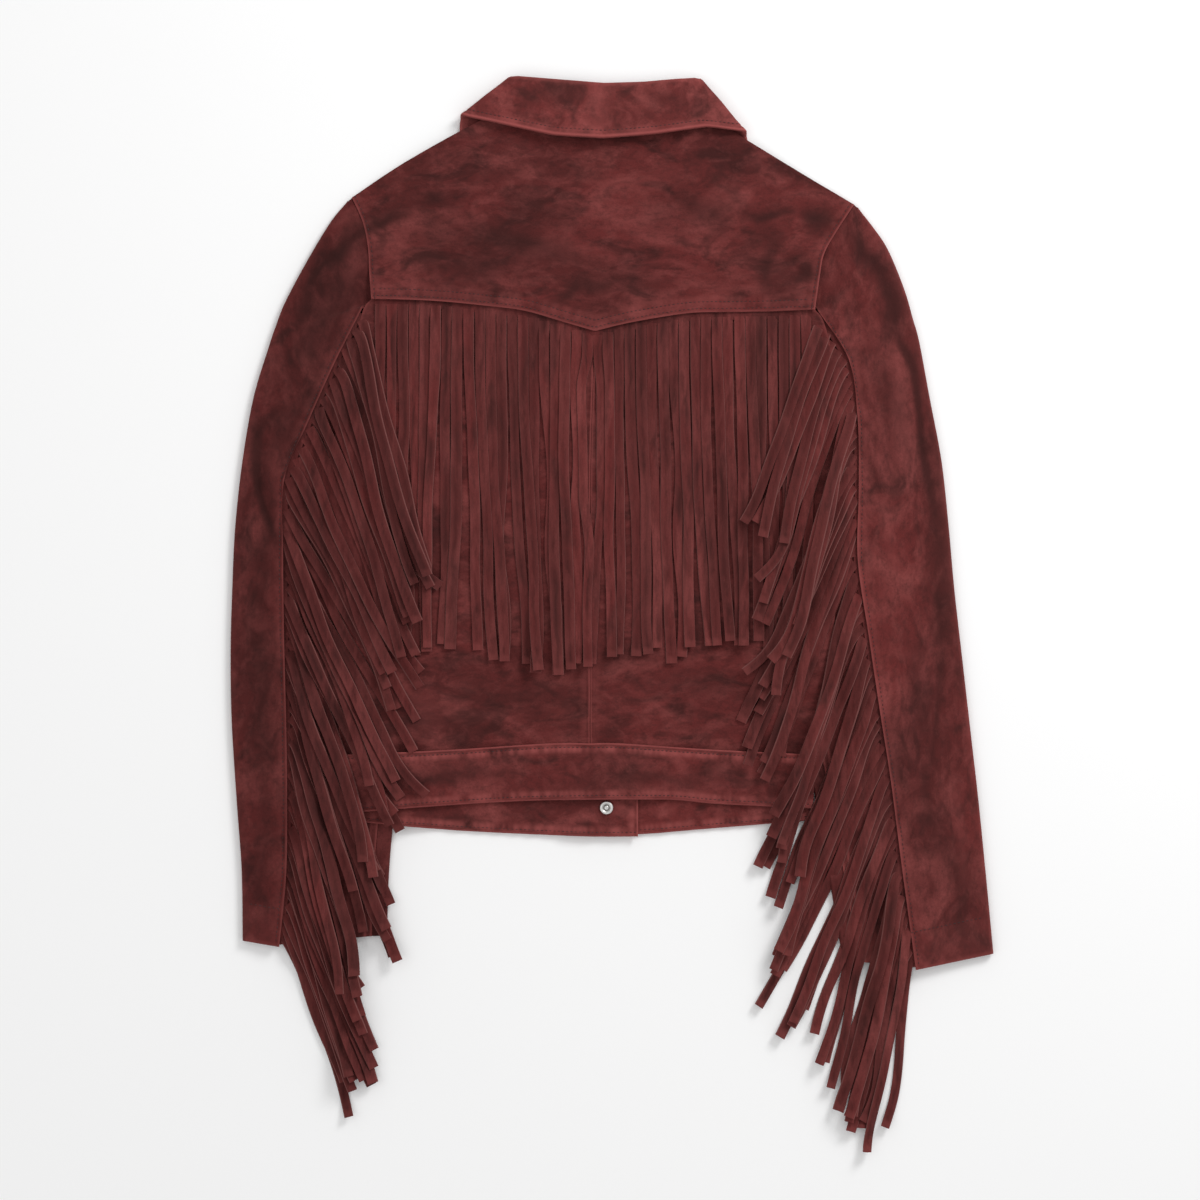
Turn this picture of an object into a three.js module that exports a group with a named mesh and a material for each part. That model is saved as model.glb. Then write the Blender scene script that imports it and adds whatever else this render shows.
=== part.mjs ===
import * as THREE from "three";

// A fringed suede jacket, laid flat on its front: its back faces +Z, its collar points to +Y, and z = 0
// is the surface that it lies on. Sizes are millimetres. x grows to the wearer's right arm.
// The pieces are laid one on another from the surface up, each a little clear of what is under it.

const suede = 1.3; // wall of the panels and sleeves
const doubled = 2.4; // wall of the collar and waistbands, two layers sewn together
const fringeSuede = 1.0; // wall of the fringe
const clear = 0.3; // between pieces at seams and between layers
const laidClear = 0.4; // between a layer and what it lies on

const sleeveHeight = 5.6; // over the rounded folds of the flattened sleeve
const underSleeveBase = 3.4; // underside of the under sleeve, above the lower layer
const capSeamBase = 1.8; // underside of the sleeve where it meets the armhole of the back
const frontSeamWidth = 12; // from the sleeve's inner fold to its front seam
const bodyAir = 1.3; // most air between the back and the fronts
const lapUnder = 6; // a panel's edge runs this far under the piece sewn over it
const armholeGap = 1.6; // in plan, between the sleeve head and the armhole of the body

const strandPitch = 8.6; // along the seam
const strandWidth = 8.1;
const strandTilt = 1.7; // rise of a sleeve strand over the next lower one, which it half covers
const tiltLimit = 5.2; // most rise across a strand
const levelPitch = 42; // between the bends of a strand
const backStripWidth = 12; // uncut suede below the yoke seam
const sleeveStripWidth = 3; // uncut suede beside the sleeve seam
const stripUnder = 5; // the strip runs this far under the yoke or the top sleeve

const oxblood = 0x5f282a;
const oxbloodDark = 0x4a2023;
const steel = 0x9a9a98;

// Outlines. Each row is x, y in millimetres from the origin under the middle of the back.
const shoulderLeft = [[-193.6, 337.6], [-155.2, 363.2], [-106.4, 390.8]];
const shoulderRight = [[122.4, 383], [164.8, 357.6], [208, 332]];
const backNeck = [[-106.4, 390.8], [-75, 404], [-33, 401.5], [8, 398.5], [49, 400], [90, 402], [122.4, 383]];
const frontNeckLeft = [[-106.4, 390.8], [-76, 352], [-34, 333], [35.2, 326]];
const frontNeckRight = [[-15.2, 326], [46, 334], [90, 352], [122.4, 383]];
const yokeSeamLeft = [[-177.6, 256], [-125.6, 254.4], [-83.2, 250.4], [-54.4, 246.4], [-24, 237.6], [0.8, 230.4]];
const yokeSeamRight = [[0.8, 230.4], [31.2, 237.6], [76, 244.8], [112.8, 245.6], [143.2, 246], [176, 247.2]];
const armholeLeft = [[-193.6, 337.6], [-184.8, 317.6], [-180.8, 298], [-179.6, 278], [-177.6, 256]];
const armholeRight = [[208, 332], [194.4, 311.2], [184, 292.8], [180, 274], [176, 247.2]];
const underarmLeft = [[-177.6, 256], [-186, 220], [-198.4, 176], [-207.2, 144]];
const underarmRight = [[176, 247.2], [184, 216], [194.4, 176], [200.8, 144]];
const sideLeft = [[-207.2, 144], [-205.6, 16], [-203, -107]];
const sideRight = [[200.8, 144], [193.6, 16], [176.8, -107]];
const centreSeam = [[0.8, 236.4], [-3, 100], [-3, -104.2]];
const waistLeft = [[-203, -107], [-112, -103.2], [-35.2, -98.2], [-3, -98.2]];
const waistRight = [[-3, -98.2], [21.6, -98.2], [93.6, -103.2], [176.8, -107]];
const backHem = [[-201, -154.4], [-135.2, -149.2], [-41.6, -144], [54.4, -143.4], [100, -147], [174.6, -150.4]];
const frontWaistLeft = [[-203, -112], [-100, -118], [35.2, -121]];
const frontWaistRight = [[-15.2, -121], [90, -118], [176.8, -112]];
const frontHemLeft = [[-199, -160], [-112, -168], [-12.8, -172.6], [35.2, -172.8]];
const frontHemRight = [[-15.2, -171.4], [36, -171.2], [86.4, -167.2], [174.6, -160]];

// Stations of the left and right sleeve from shoulder to cuff: the outer fold, the seam at the back
// (the armhole for the first five rows, then the fringed back seam), and the inner fold.
const sleeveColumns = ["outerX", "outerY", "seamX", "seamY", "innerX", "innerY"];
const leftSleeve = table(sleeveColumns, [
  [-198.6, 333, -194.6, 336.4, -194.6, 336.4],
  [-209.6, 319.2, -185.4, 317.2, -185.4, 317.2],
  [-228, 288.8, -181.4, 298, -181.4, 298],
  [-246.4, 254.4, -180, 276, -180, 276],
  [-259.2, 220, -184.8, 249, -184.8, 249],
  [-272, 177.6, -206.4, 206.4, -146, 216],
  [-280.8, 127.2, -228, 158.4, -134.4, 160],
  [-286.4, 76, -247.2, 112, -132.8, 108],
  [-288.8, 32, -248, 48, -136, 48],
  [-290.4, -24, -247.2, -16, -141.6, -16],
  [-289.6, -80, -245.6, -80, -148.8, -80],
  [-285.6, -144, -244.8, -144, -157.6, -140],
  [-281.6, -200, -245.6, -204, -163.2, -200],
  [-280.8, -256, -251.2, -260.8, -164.8, -252],
]);
const rightSleeve = table(sleeveColumns, [
  [212.6, 328, 209, 331, 209, 331],
  [223.2, 313.6, 195, 311.4, 195, 311.4],
  [235.2, 295.2, 184.7, 293, 184.7, 293],
  [248, 264, 180.4, 272, 180.4, 272],
  [260, 221.6, 179, 246, 179, 246],
  [268, 178.4, 203.2, 208, 144.8, 210],
  [277.6, 127.2, 210.4, 160, 134.4, 160],
  [283.2, 76.8, 211.2, 104, 134.4, 104],
  [288, 24, 210.4, 48, 140.8, 48],
  [294.4, -32, 219.2, -12.8, 151.2, -16],
  [300.8, -88, 228, -72, 162.4, -76],
  [307.2, -144, 236.8, -128, 175.2, -136],
  [313.6, -208, 245.6, -196.8, 187.2, -204],
  [319.2, -266.4, 256.8, -279.2, 198.4, -273.6],
]);
const armholeRows = 5; // stations that lie on the armhole

// Large soft folds of the upper side: from one end to the other, half width, and height (a trough is below 0).
const foldColumns = ["x1", "y1", "x2", "y2", "width", "height"];
const folds = table(foldColumns, [
  [-275, 150, -250, 50, 9, -1.6],
  [-183, 312, -228, 246, 10, -1.1],
  [-262, 20, -250, -60, 8, 0.9],
  [-268, -90, -256, -200, 9, -0.8],
  [276, 200, 279, -90, 10, -1.6],
  [246, 230, 236, 120, 9, 0.9],
  [262, -60, 276, -180, 9, -0.8],
  [-150, 350, -120, 280, 16, -0.7],
  [150, 340, 130, 280, 16, -0.7],
  [-170, -20, -120, -95, 14, 0.9],
  [120, -20, 150, -95, 14, 0.9],
  [-60, -10, -40, -95, 16, -0.6],
]);

// Collar: the roll line and the free edge, from the left point under the neck, round the back, to the right.
const collarColumns = ["rollX", "rollY", "edgeX", "edgeY"];
const collarFrontLeft = table(collarColumns, [
  [-4, 325, -40, 281],
  [-38, 338, -90, 300],
  [-60, 366, -117, 345],
  [-65, 402, -108, 376],
]);
const collarBack = table(collarColumns, [
  [-67.2, 434.4, -107.2, 402.4],
  [-48, 432.8, -73.6, 395.2],
  [-22, 430.8, -32.8, 386.4],
  [8, 428.4, 8, 384],
  [40, 429.4, 48.8, 387.2],
  [66, 431.6, 89.6, 392.8],
  [85.6, 432.8, 122.4, 389],
]);
const collarFrontRight = table(collarColumns, [
  [81, 400, 125, 370],
  [74, 362, 132, 335],
  [50, 336, 102, 296],
  [16, 325, 52, 281],
]);
const collarBase = 7.2; // underside of the fall over the yoke
const rollBulk = 1; // more wall under the roll, where the collar's layers and seams gather
const rollFrom = 390; // from here to the top of the collar

// Fringe: how far along the seam (0 to 1), the strand's length, and how far it drifts from straight down.
const driftColumns = ["along", "length", "drift"];
const leftDrift = table(driftColumns, [
  [0, 205, 15],
  [0.12, 215, 17],
  [0.3, 215, 19],
  [0.6, 212, 20],
  [0.8, 205, 18],
  [1, 150, 15],
]);
const rightDrift = table(driftColumns, [
  [0, 175, 15],
  [0.12, 208, 17],
  [0.3, 215, 19],
  [0.6, 215, 20],
  [0.8, 218, 17],
  [1, 165, 9],
]);
// Lower ends of the back fringe, across the back.
const backEnds = [
  [-180, -22], [-140, -24], [-102, -19], [-86, -32], [-50, -38], [-24, -40], [-2, -34], [13, -27],
  [42, -23], [56, -29], [92, -22], [130, -21], [175, -16],
];

const snap = { x: 10, y: -149.8, radius: 5.4, height: 1.7, bore: 1.6, dish: 3.2 };

function table(columns, rows) {
  return rows.map((row) => Object.fromEntries(columns.map((name, i) => [name, row[i]])));
}

function ease(t) {
  const s = Math.min(1, Math.max(0, t));
  return s * s * (3 - 2 * s);
}

function mix(a, b, t) {
  return a + (b - a) * t;
}

// The same uneven number between 0 and 1 for the same seed, for the unevenness of cut suede.
function uneven(seed) {
  const wave = Math.sin(seed * 127.1 + 311.7) * 43758.5453;
  return wave - Math.floor(wave);
}

// A value read off a short table between its rows.
function between(rows, key, value, at) {
  const last = rows.length - 1;
  let i = 0;
  while (i < last - 1 && rows[i + 1][key] < at) i += 1;
  const t = Math.min(1, Math.max(0, (at - rows[i][key]) / (rows[i + 1][key] - rows[i][key])));
  return mix(rows[i][value], rows[i + 1][value], t);
}

// An edge made of smooth stretches, with a corner where two stretches meet; u runs along its length.
function edge(...stretches) {
  const path = new THREE.CurvePath();
  for (const points of stretches) {
    path.add(new THREE.SplineCurve(points.map(([x, y]) => new THREE.Vector2(x, y))));
  }
  return (u) => path.getPoint(Math.min(1, Math.max(0, u)));
}

function reversed(points) {
  return [...points].reverse();
}

// Height of an edge that runs across the jacket, at x.
function heightOf(points, x) {
  const rows = points.map(([px, py]) => ({ px, py }));
  return between(rows, "px", "py", x);
}

// A grid of points between four edges; rows run from top to bottom and columns from left to right.
function patch(top, bottom, left, right, rows, columns) {
  const corner = { a: top(0), b: top(1), c: bottom(0), d: bottom(1) };
  const grid = [];
  for (let i = 0; i <= rows; i += 1) {
    const v = i / rows;
    grid.push([]);
    for (let j = 0; j <= columns; j += 1) {
      const u = j / columns;
      const across = (key) => mix(top(u)[key], bottom(u)[key], v) + mix(left(v)[key], right(v)[key], u);
      const twist = (key) =>
        mix(mix(corner.a[key], corner.b[key], u), mix(corner.c[key], corner.d[key], u), v);
      grid[i].push(new THREE.Vector3(across("x") - twist("x"), across("y") - twist("y"), 0));
    }
  }
  return grid;
}

// What has been laid so far: the highest point over each half millimetre square.
const laid = { cell: 0.5, left: -330, bottom: -470, columns: 1340, rows: 1830 };
laid.top = new Float32Array(laid.columns * laid.rows);

function highest(x, y, reach = 0) {
  const from = (value, origin) => Math.floor((value - origin) / laid.cell);
  let top = 0;
  for (let j = from(y - reach, laid.bottom); j <= from(y + reach, laid.bottom); j += 1) {
    for (let i = from(x - reach, laid.left); i <= from(x + reach, laid.left); i += 1) {
      top = Math.max(top, laid.top[j * laid.columns + i]);
    }
  }
  return top;
}

function raise(x, y, z) {
  const i = Math.floor((x - laid.left) / laid.cell);
  const j = Math.floor((y - laid.bottom) / laid.cell);
  const k = j * laid.columns + i;
  if (z > laid.top[k]) laid.top[k] = z;
}

// Adds a solid's upper side to what has been laid, or those of its faces that keep allows by y and z.
function lay(mesh, keep = () => true) {
  const p = mesh.geometry.getAttribute("position");
  const index = mesh.geometry.index.array;
  const [a, b, c] = [new THREE.Vector3(), new THREE.Vector3(), new THREE.Vector3()];
  for (let k = 0; k < index.length; k += 3) {
    a.fromBufferAttribute(p, index[k]);
    b.fromBufferAttribute(p, index[k + 1]);
    c.fromBufferAttribute(p, index[k + 2]);
    const area = (b.x - a.x) * (c.y - a.y) - (c.x - a.x) * (b.y - a.y);
    if (area < 1e-6 || !keep(Math.max(a.y, b.y, c.y), Math.max(a.z, b.z, c.z))) continue;
    const steps = Math.ceil(Math.max(a.distanceTo(b), b.distanceTo(c), c.distanceTo(a)) / (0.8 * laid.cell));
    for (let i = 0; i <= steps; i += 1) {
      for (let j = 0; j <= steps - i; j += 1) {
        const [s, t] = [i / steps, j / steps];
        const r = 1 - s - t;
        raise(r * a.x + s * b.x + t * c.x, r * a.y + s * b.y + t * c.y, r * a.z + s * b.z + t * c.z);
      }
    }
  }
}

// Visits points over a grid's faces, each with the weights of the four corners round it.
function overFaces(grid, step, visit) {
  for (let i = 0; i + 1 < grid.length; i += 1) {
    for (let j = 0; j + 1 < grid[i].length; j += 1) {
      const corners = [grid[i][j], grid[i][j + 1], grid[i + 1][j + 1], grid[i + 1][j]];
      const down = Math.max(1, Math.ceil(corners[0].distanceTo(corners[3]) / step));
      const over = Math.max(1, Math.ceil(corners[0].distanceTo(corners[1]) / step));
      for (let m = 0; m <= down; m += 1) {
        for (let n = 0; n <= over; n += 1) {
          const [s, t] = [m / down, n / over];
          const weights = t >= s ? [1 - t, t - s, s, 0] : [1 - s, 0, t, s - t];
          visit(corners, weights, blend(corners, weights, "x"), blend(corners, weights, "y"));
        }
      }
    }
  }
}

function blend(corners, weights, key) {
  let sum = 0;
  for (let k = 0; k < corners.length; k += 1) sum += corners[k][key] * weights[k];
  return sum;
}

function samplesOf(grid, step, need) {
  const samples = [];
  overFaces(grid, step, (corners, weights, x, y) => samples.push({ corners, weights, x, y, need: need(x, y) }));
  return samples;
}

// Raises a grid's points, a little in each round, until no face is lower than it may be.
function settle(samples, fixed = new Set()) {
  const corners = new Set(samples.flatMap((sample) => sample.corners));
  for (let round = 0; round < 120; round += 1) {
    let worst = 0;
    for (const corner of corners) corner.lift = 0;
    for (const sample of samples) {
      const short = sample.need - blend(sample.corners, sample.weights, "z");
      if (short <= 0) continue;
      const free = sample.weights.map((w, k) => (fixed.has(sample.corners[k]) ? 0 : w));
      const share = free.reduce((sum, w, k) => sum + w * sample.weights[k], 0);
      if (share < 0.02) continue;
      worst = Math.max(worst, short);
      sample.corners.forEach((corner, k) => {
        corner.lift = Math.max(corner.lift, (short * free[k]) / share);
      });
    }
    if (worst < 0.02) break;
    for (const corner of corners) corner.z += corner.lift * 0.35;
  }
}

// Lets the free points down again, each as far as the faces round it allow.
function sink(samples, fixed = new Set()) {
  const held = new Map();
  for (const sample of samples) {
    sample.corners.forEach((corner, k) => {
      if (fixed.has(corner) || sample.weights[k] < 0.04) return;
      if (!held.has(corner)) held.set(corner, []);
      held.get(corner).push([sample, sample.weights[k]]);
    });
  }
  for (let sweep = 0; sweep < 14; sweep += 1) {
    for (const [corner, list] of held) {
      let slack = Infinity;
      for (const [sample, weight] of list) {
        slack = Math.min(slack, (blend(sample.corners, sample.weights, "z") - sample.need) / weight);
      }
      if (slack > 0) corner.z -= slack * 0.4;
    }
  }
}

// A closed wall between two grids of points that match one to one.
function wallMesh(name, inner, outer, color, isCell = () => true) {
  const [rows, columns] = [inner.length, inner[0].length];
  const holds = (i, j) => i >= 0 && j >= 0 && i < rows - 1 && j < columns - 1 && isCell(i, j);
  const id = (side, [i, j]) => (side * rows + i) * columns + j;
  const index = [];
  const quad = (a, b, c, d) => index.push(a, b, c, a, c, d);
  for (let i = 0; i < rows - 1; i += 1) {
    for (let j = 0; j < columns - 1; j += 1) {
      if (!holds(i, j)) continue;
      const ring = [[i, j], [i, j + 1], [i + 1, j + 1], [i + 1, j]];
      const beyond = [[i - 1, j], [i, j + 1], [i + 1, j], [i, j - 1]];
      quad(...ring.map((corner) => id(1, corner)));
      quad(...[0, 3, 2, 1].map((k) => id(0, ring[k])));
      ring.forEach((from, k) => {
        const to = ring[(k + 1) % 4];
        if (!holds(...beyond[k])) quad(id(1, to), id(1, from), id(0, from), id(0, to));
      });
    }
  }
  const points = [inner, outer].flatMap((side) => side.flat());
  return meshOf(name, points, index, color);
}

function meshOf(name, points, index, color, metalness = 0) {
  const volume = signedVolume(points, index);
  if (volume < 0) index.reverse();
  const geometry = new THREE.BufferGeometry();
  geometry.setAttribute("position", new THREE.Float32BufferAttribute(points.flatMap((p) => [p.x, p.y, p.z]), 3));
  geometry.setIndex(index);
  geometry.computeVertexNormals();
  const material = new THREE.MeshStandardMaterial({ color, roughness: metalness ? 0.35 : 0.95, metalness });
  const mesh = new THREE.Mesh(geometry, material);
  mesh.name = name;
  return mesh;
}

function signedVolume(points, index) {
  let sum = 0;
  const cross = new THREE.Vector3();
  for (let k = 0; k < index.length; k += 3) {
    cross.crossVectors(points[index[k + 1]], points[index[k + 2]]);
    sum += points[index[k]].dot(cross);
  }
  return sum;
}

// A panel: its grid is settled from its first height on what is laid, and given its wall.
function panel(name, grid, wall, need = onLaid) {
  settle(samplesOf(grid, 2.5, need));
  const upper = grid.map((row) => row.map((p) => new THREE.Vector3(p.x, p.y, p.z + wall)));
  return wallMesh(name, grid, upper, oxblood);
}

function onLaid(x, y) {
  const under = highest(x, y, 1.2);
  return under > 0 ? under + laidClear : 0;
}

function foldHeight(x, y) {
  let sum = 0;
  for (const fold of folds) {
    const [dx, dy] = [fold.x2 - fold.x1, fold.y2 - fold.y1];
    const length = Math.hypot(dx, dy);
    const along = ((x - fold.x1) * dx + (y - fold.y1) * dy) / (length * length);
    const off = Math.abs((x - fold.x1) * dy - (y - fold.y1) * dx) / length;
    const ends = ease((along + 0.15) / 0.3) * ease((1.15 - along) / 0.3);
    sum += fold.height * ends * Math.exp(-((off / fold.width) ** 2));
  }
  return sum;
}

// Sleeves

// A point of one of the sleeve's three lines, at a station counted from the shoulder; the first
// stations lie on the armhole, and the line turns a corner where the back seam leaves it.
function sleeveLine(stations, key, at) {
  const corner = armholeRows - 1;
  const keep = (k) => (at < corner ? k <= corner : k >= corner);
  const used = key === "outer" ? stations : stations.filter((_, k) => keep(k));
  const start = key === "outer" || at < corner ? 0 : corner;
  const curve = new THREE.SplineCurve(used.map((s) => new THREE.Vector2(s[`${key}X`], s[`${key}Y`])));
  return curve.getPoint((at - start) / (used.length - 1));
}

function sleeveLines(stations, at) {
  const onArmhole = at <= armholeRows - 1;
  const outer = sleeveLine(stations, "outer", at);
  const seam = sleeveLine(stations, "seam", at);
  const inner = sleeveLine(stations, onArmhole ? "seam" : "inner", at);
  if (onArmhole) {
    const away = outer.clone().sub(seam).setLength(armholeGap);
    seam.add(away);
    inner.add(away);
  }
  return { outer, seam, inner };
}

// Underside of the top sleeve along its seam: level with the yoke on the armhole, then over the fringe strip.
function seamBase(at) {
  const overStrip = underSleeveBase + suede + clear + fringeSuede + clear;
  return mix(capSeamBase, overStrip, ease((at - 3.1) / 0.9));
}

const upperColumns = 6;
const foldSteps = 4;
const lowerColumns = 5;

// One section of the top sleeve as a line through the middle of its wall: over the upper side from the
// seam, round the outer fold, along the surface, round the inner fold and up to the front seam.
function sleeveSection(stations, at) {
  const { outer, seam, inner } = sleeveLines(stations, at);
  const height = mix(3.4, sleeveHeight, ease(at / 2));
  const radius = (height - suede) / 2;
  const upperWay = seam.clone().sub(outer).normalize();
  const lowerWay = inner.clone().sub(outer).normalize();
  const upperLength = seam.distanceTo(outer);
  const lowerLength = inner.distanceTo(outer);
  const edgeOffset = height / 2;
  const line = [];
  const place = (way, distance, z) => {
    line.push(new THREE.Vector3(outer.x + way.x * distance, outer.y + way.y * distance, z));
  };
  for (let j = 0; j <= upperColumns; j += 1) {
    const t = j / upperColumns;
    const distance = mix(upperLength, Math.min(edgeOffset, upperLength * 0.6), t);
    const x = outer.x + upperWay.x * distance;
    const y = outer.y + upperWay.y * distance;
    const rise = mix(seamBase(at) + suede / 2, height - suede / 2, ease((t - 0.16) * 1.6));
    place(upperWay, distance, rise + foldHeight(x, y) * ease(t * 3 - 0.5) * ease((1 - t) * 2.5));
  }
  const centre = Math.min(edgeOffset, upperLength * 0.6);
  for (let k = 1; k < foldSteps; k += 1) {
    const angle = Math.PI / 2 + (Math.PI * k) / foldSteps;
    place(upperWay, centre + radius * Math.cos(angle), height / 2 + radius * Math.sin(angle));
  }
  const innerEnd = at > armholeRows - 1 ? lowerLength - edgeOffset : lowerLength;
  for (let j = 0; j <= lowerColumns; j += 1) {
    place(lowerWay, mix(centre, innerEnd, j / lowerColumns), suede / 2);
  }
  const innerHeight = underSleeveBase + suede;
  const innerRadius = (innerHeight - suede) / 2;
  for (let k = 1; k < foldSteps; k += 1) {
    const angle = -Math.PI / 2 + (Math.PI * k) / foldSteps;
    place(lowerWay, innerEnd + innerRadius * Math.cos(angle), innerHeight / 2 + innerRadius * Math.sin(angle));
  }
  place(lowerWay, innerEnd, innerHeight - suede / 2);
  place(lowerWay, innerEnd + edgeOffset - frontSeamWidth, innerHeight - suede / 2);
  return { line, way: lowerWay };
}

// The two faces of a wall round a section's middle line.
function offsetFaces({ line, way }) {
  const faces = { inner: [], outer: [] };
  line.forEach((point, k) => {
    const before = line[Math.max(0, k - 1)];
    const after = line[Math.min(line.length - 1, k + 1)];
    const run = (after.x - before.x) * way.x + (after.y - before.y) * way.y;
    const rise = after.z - before.z;
    const length = Math.hypot(run, rise);
    const half = suede / 2 / length;
    const shift = new THREE.Vector3(way.x * rise, way.y * rise, -run).multiplyScalar(half);
    faces.outer.push(point.clone().add(shift));
    faces.inner.push(point.clone().sub(shift));
  });
  for (const point of faces.outer) point.z = Math.max(0, point.z);
  return faces;
}

function topSleeve(name, stations) {
  const rows = [];
  const steps = [0, 0.5, 1, 1.6, 2.3, 3, 3.5];
  for (let at = armholeRows - 1; at < stations.length; at += 1) steps.push(at);
  for (const at of steps) rows.push(offsetFaces(sleeveSection(stations, at)));
  const tubeStart = steps.indexOf(armholeRows);
  const lowerEnd = upperColumns + foldSteps + lowerColumns;
  const isCell = (i, j) => j < lowerEnd || i >= tubeStart;
  return wallMesh(name, rows.map((r) => r.inner), rows.map((r) => r.outer), oxblood, isCell);
}

// The under sleeve fills the upper side between the fringed back seam and the front seam.
function underSleeve(name, stations) {
  const grid = [];
  const columns = 4;
  const rows = [armholeRows - 0.4];
  for (let at = armholeRows; at < stations.length; at += 1) rows.push(at);
  for (const at of rows) {
    const { seam, inner, outer } = sleeveLines(stations, at);
    const back = seam.clone().add(outer.clone().sub(seam).setLength(lapUnder));
    const front = inner.clone().add(outer.clone().sub(inner).setLength(frontSeamWidth + clear));
    const row = [];
    for (let j = 0; j <= columns; j += 1) {
      const point = back.clone().lerp(front, j / columns);
      row.push(new THREE.Vector3(point.x, point.y, underSleeveBase));
    }
    grid.push(row);
  }
  const upper = grid.map((row) => row.map((p) => new THREE.Vector3(p.x, p.y, p.z + suede)));
  return wallMesh(name, grid, upper, oxblood);
}

// Collar

// The fall runs under the neck at both ends, and turns over at each side on a rounded fold.
function collarStations() {
  const low = doubled / 2;
  const high = collarBase + doubled / 2;
  const radius = (high - low) / 2;
  const list = [];
  const add = (row, z, normal, inset = 0, towards = null) => {
    const roll = new THREE.Vector3(row.rollX, row.rollY, z);
    const rim = new THREE.Vector3(row.edgeX, row.edgeY, z);
    if (towards) {
      roll.addScaledVector(towards, inset);
      rim.addScaledVector(towards, inset);
    }
    list.push({ roll, rim, normal });
  };
  const turn = (row, fromUnder) => {
    const side = Math.sign(row.edgeX);
    const along = new THREE.Vector3(row.edgeX - row.rollX, row.edgeY - row.rollY, 0).normalize();
    const inward = new THREE.Vector3(-along.y, along.x, 0).multiplyScalar(side);
    for (let k = 0; k <= foldSteps; k += 1) {
      const angle = (Math.PI * (fromUnder ? k : foldSteps - k)) / foldSteps - Math.PI / 2;
      const reach = Math.cos(angle);
      const normal = inward.clone().multiplyScalar(-reach).add(new THREE.Vector3(0, 0, Math.sin(angle)));
      const inset = radius + low - radius * reach;
      add(row, (low + high) / 2 + radius * Math.sin(angle), normal, inset, inward);
    }
  };
  const down = new THREE.Vector3(0, 0, -1);
  const up = new THREE.Vector3(0, 0, 1);
  for (const row of collarFrontLeft) add(row, low, down);
  turn(collarBack[0], true);
  for (const row of collarBack.slice(1, -1)) add(row, high, up);
  turn(collarBack[collarBack.length - 1], false);
  for (const row of collarFrontRight) add(row, low, down);
  return list;
}

function collarFall() {
  const columns = 3;
  const inner = [];
  const outer = [];
  for (const { roll, rim, normal } of collarStations()) {
    const line = [];
    for (let j = 0; j <= columns; j += 1) line.push(roll.clone().lerp(rim, j / columns));
    const bulk = (y) => (normal.z < -0.9 ? rollBulk * THREE.MathUtils.clamp((y - rollFrom) / 48, 0, 1) : 0);
    inner.push(line.map((p) => p.clone().addScaledVector(normal, -doubled / 2 - bulk(p.y))));
    outer.push(line.map((p) => p.clone().addScaledVector(normal, doubled / 2)));
  }
  return wallMesh("collar_fall", inner, outer, oxblood);
}

// The stand lies between the neck seam and the roll line, under the fall.
function collarStand() {
  const roll = [[-60, 427], [-22, 425], [8, 423], [40, 424], [79, 426]];
  const neck = [[-72, 407], [-33, 404.5], [8, 401.5], [49, 403], [86, 405.5]];
  const ends = [edge([roll[0], neck[0]]), edge([roll[4], neck[4]])];
  const grid = patch(edge(roll), edge(neck), ...ends, 1, 8);
  for (const point of grid.flat()) point.z = collarBase - clear - suede;
  return panel("collar_stand", grid, suede);
}

// Fringe

// One strand's line: it leaves its seam straight, then bends to its drift under its own weight. Below the
// bend its points stand at levels shared by all strands, so that neighbours lie on each other evenly.
function strandNodes({ start, heading, fall, length, stops, straight, bend, wave }) {
  const nodes = [];
  const at = start.clone();
  const angleAt = (s) => {
    const turned = 1 - Math.exp(-Math.max(0, s - straight) / bend);
    return mix(heading, fall, turned) + wave.size * turned * Math.sin(wave.phase + s / wave.length);
  };
  let last = 0;
  for (let s = 0; s <= length; s += 1) {
    const level = (y) => Math.floor(y / levelPitch);
    const before = at.y;
    at.add(new THREE.Vector2(Math.cos(angleAt(s)), Math.sin(angleAt(s))));
    const isLevel = level(before) !== level(at.y) && s > stops[stops.length - 1] && s < length;
    const isApart = s - last > levelPitch * 0.35 && length - s > levelPitch * 0.35;
    if (stops.includes(s) || (isLevel && isApart) || s + 1 > length) {
      nodes.push({ x: at.x, y: at.y, angle: angleAt(s) });
      last = s;
    }
  }
  return nodes;
}

// Lays one strand from its root edge. Its two edges are kept in the order in which they stand on the seam,
// and side is 1 where the strand leaves to the left of the seam's run, or -1.
function layStrand(root, nodes, side, tilt = null) {
  const grid = nodes.map((node, k) => {
    if (k === 0) return root;
    const [nx, ny] = [-Math.sin(node.angle), Math.cos(node.angle)];
    const half = (side * strandWidth) / 2;
    return [1, -1].map((way) => new THREE.Vector3(node.x + way * nx * half, node.y + way * ny * half, 0));
  });
  if (tilt) {
    layTilted(grid, nodes, tilt);
  } else {
    const samples = samplesOf(grid, 1.5, (x, y) => highest(x, y, 0.2) + clear);
    const free = samples.filter((sample) => awayFrom(nodes[0], sample));
    settle(free, new Set(root));
    sink(free, new Set(root));
  }
  layGrid(grid);
  return grid;
}

function awayFrom(start, { x, y }) {
  return Math.hypot(x - start.x, y - start.y) > strandWidth * 0.62;
}

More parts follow.
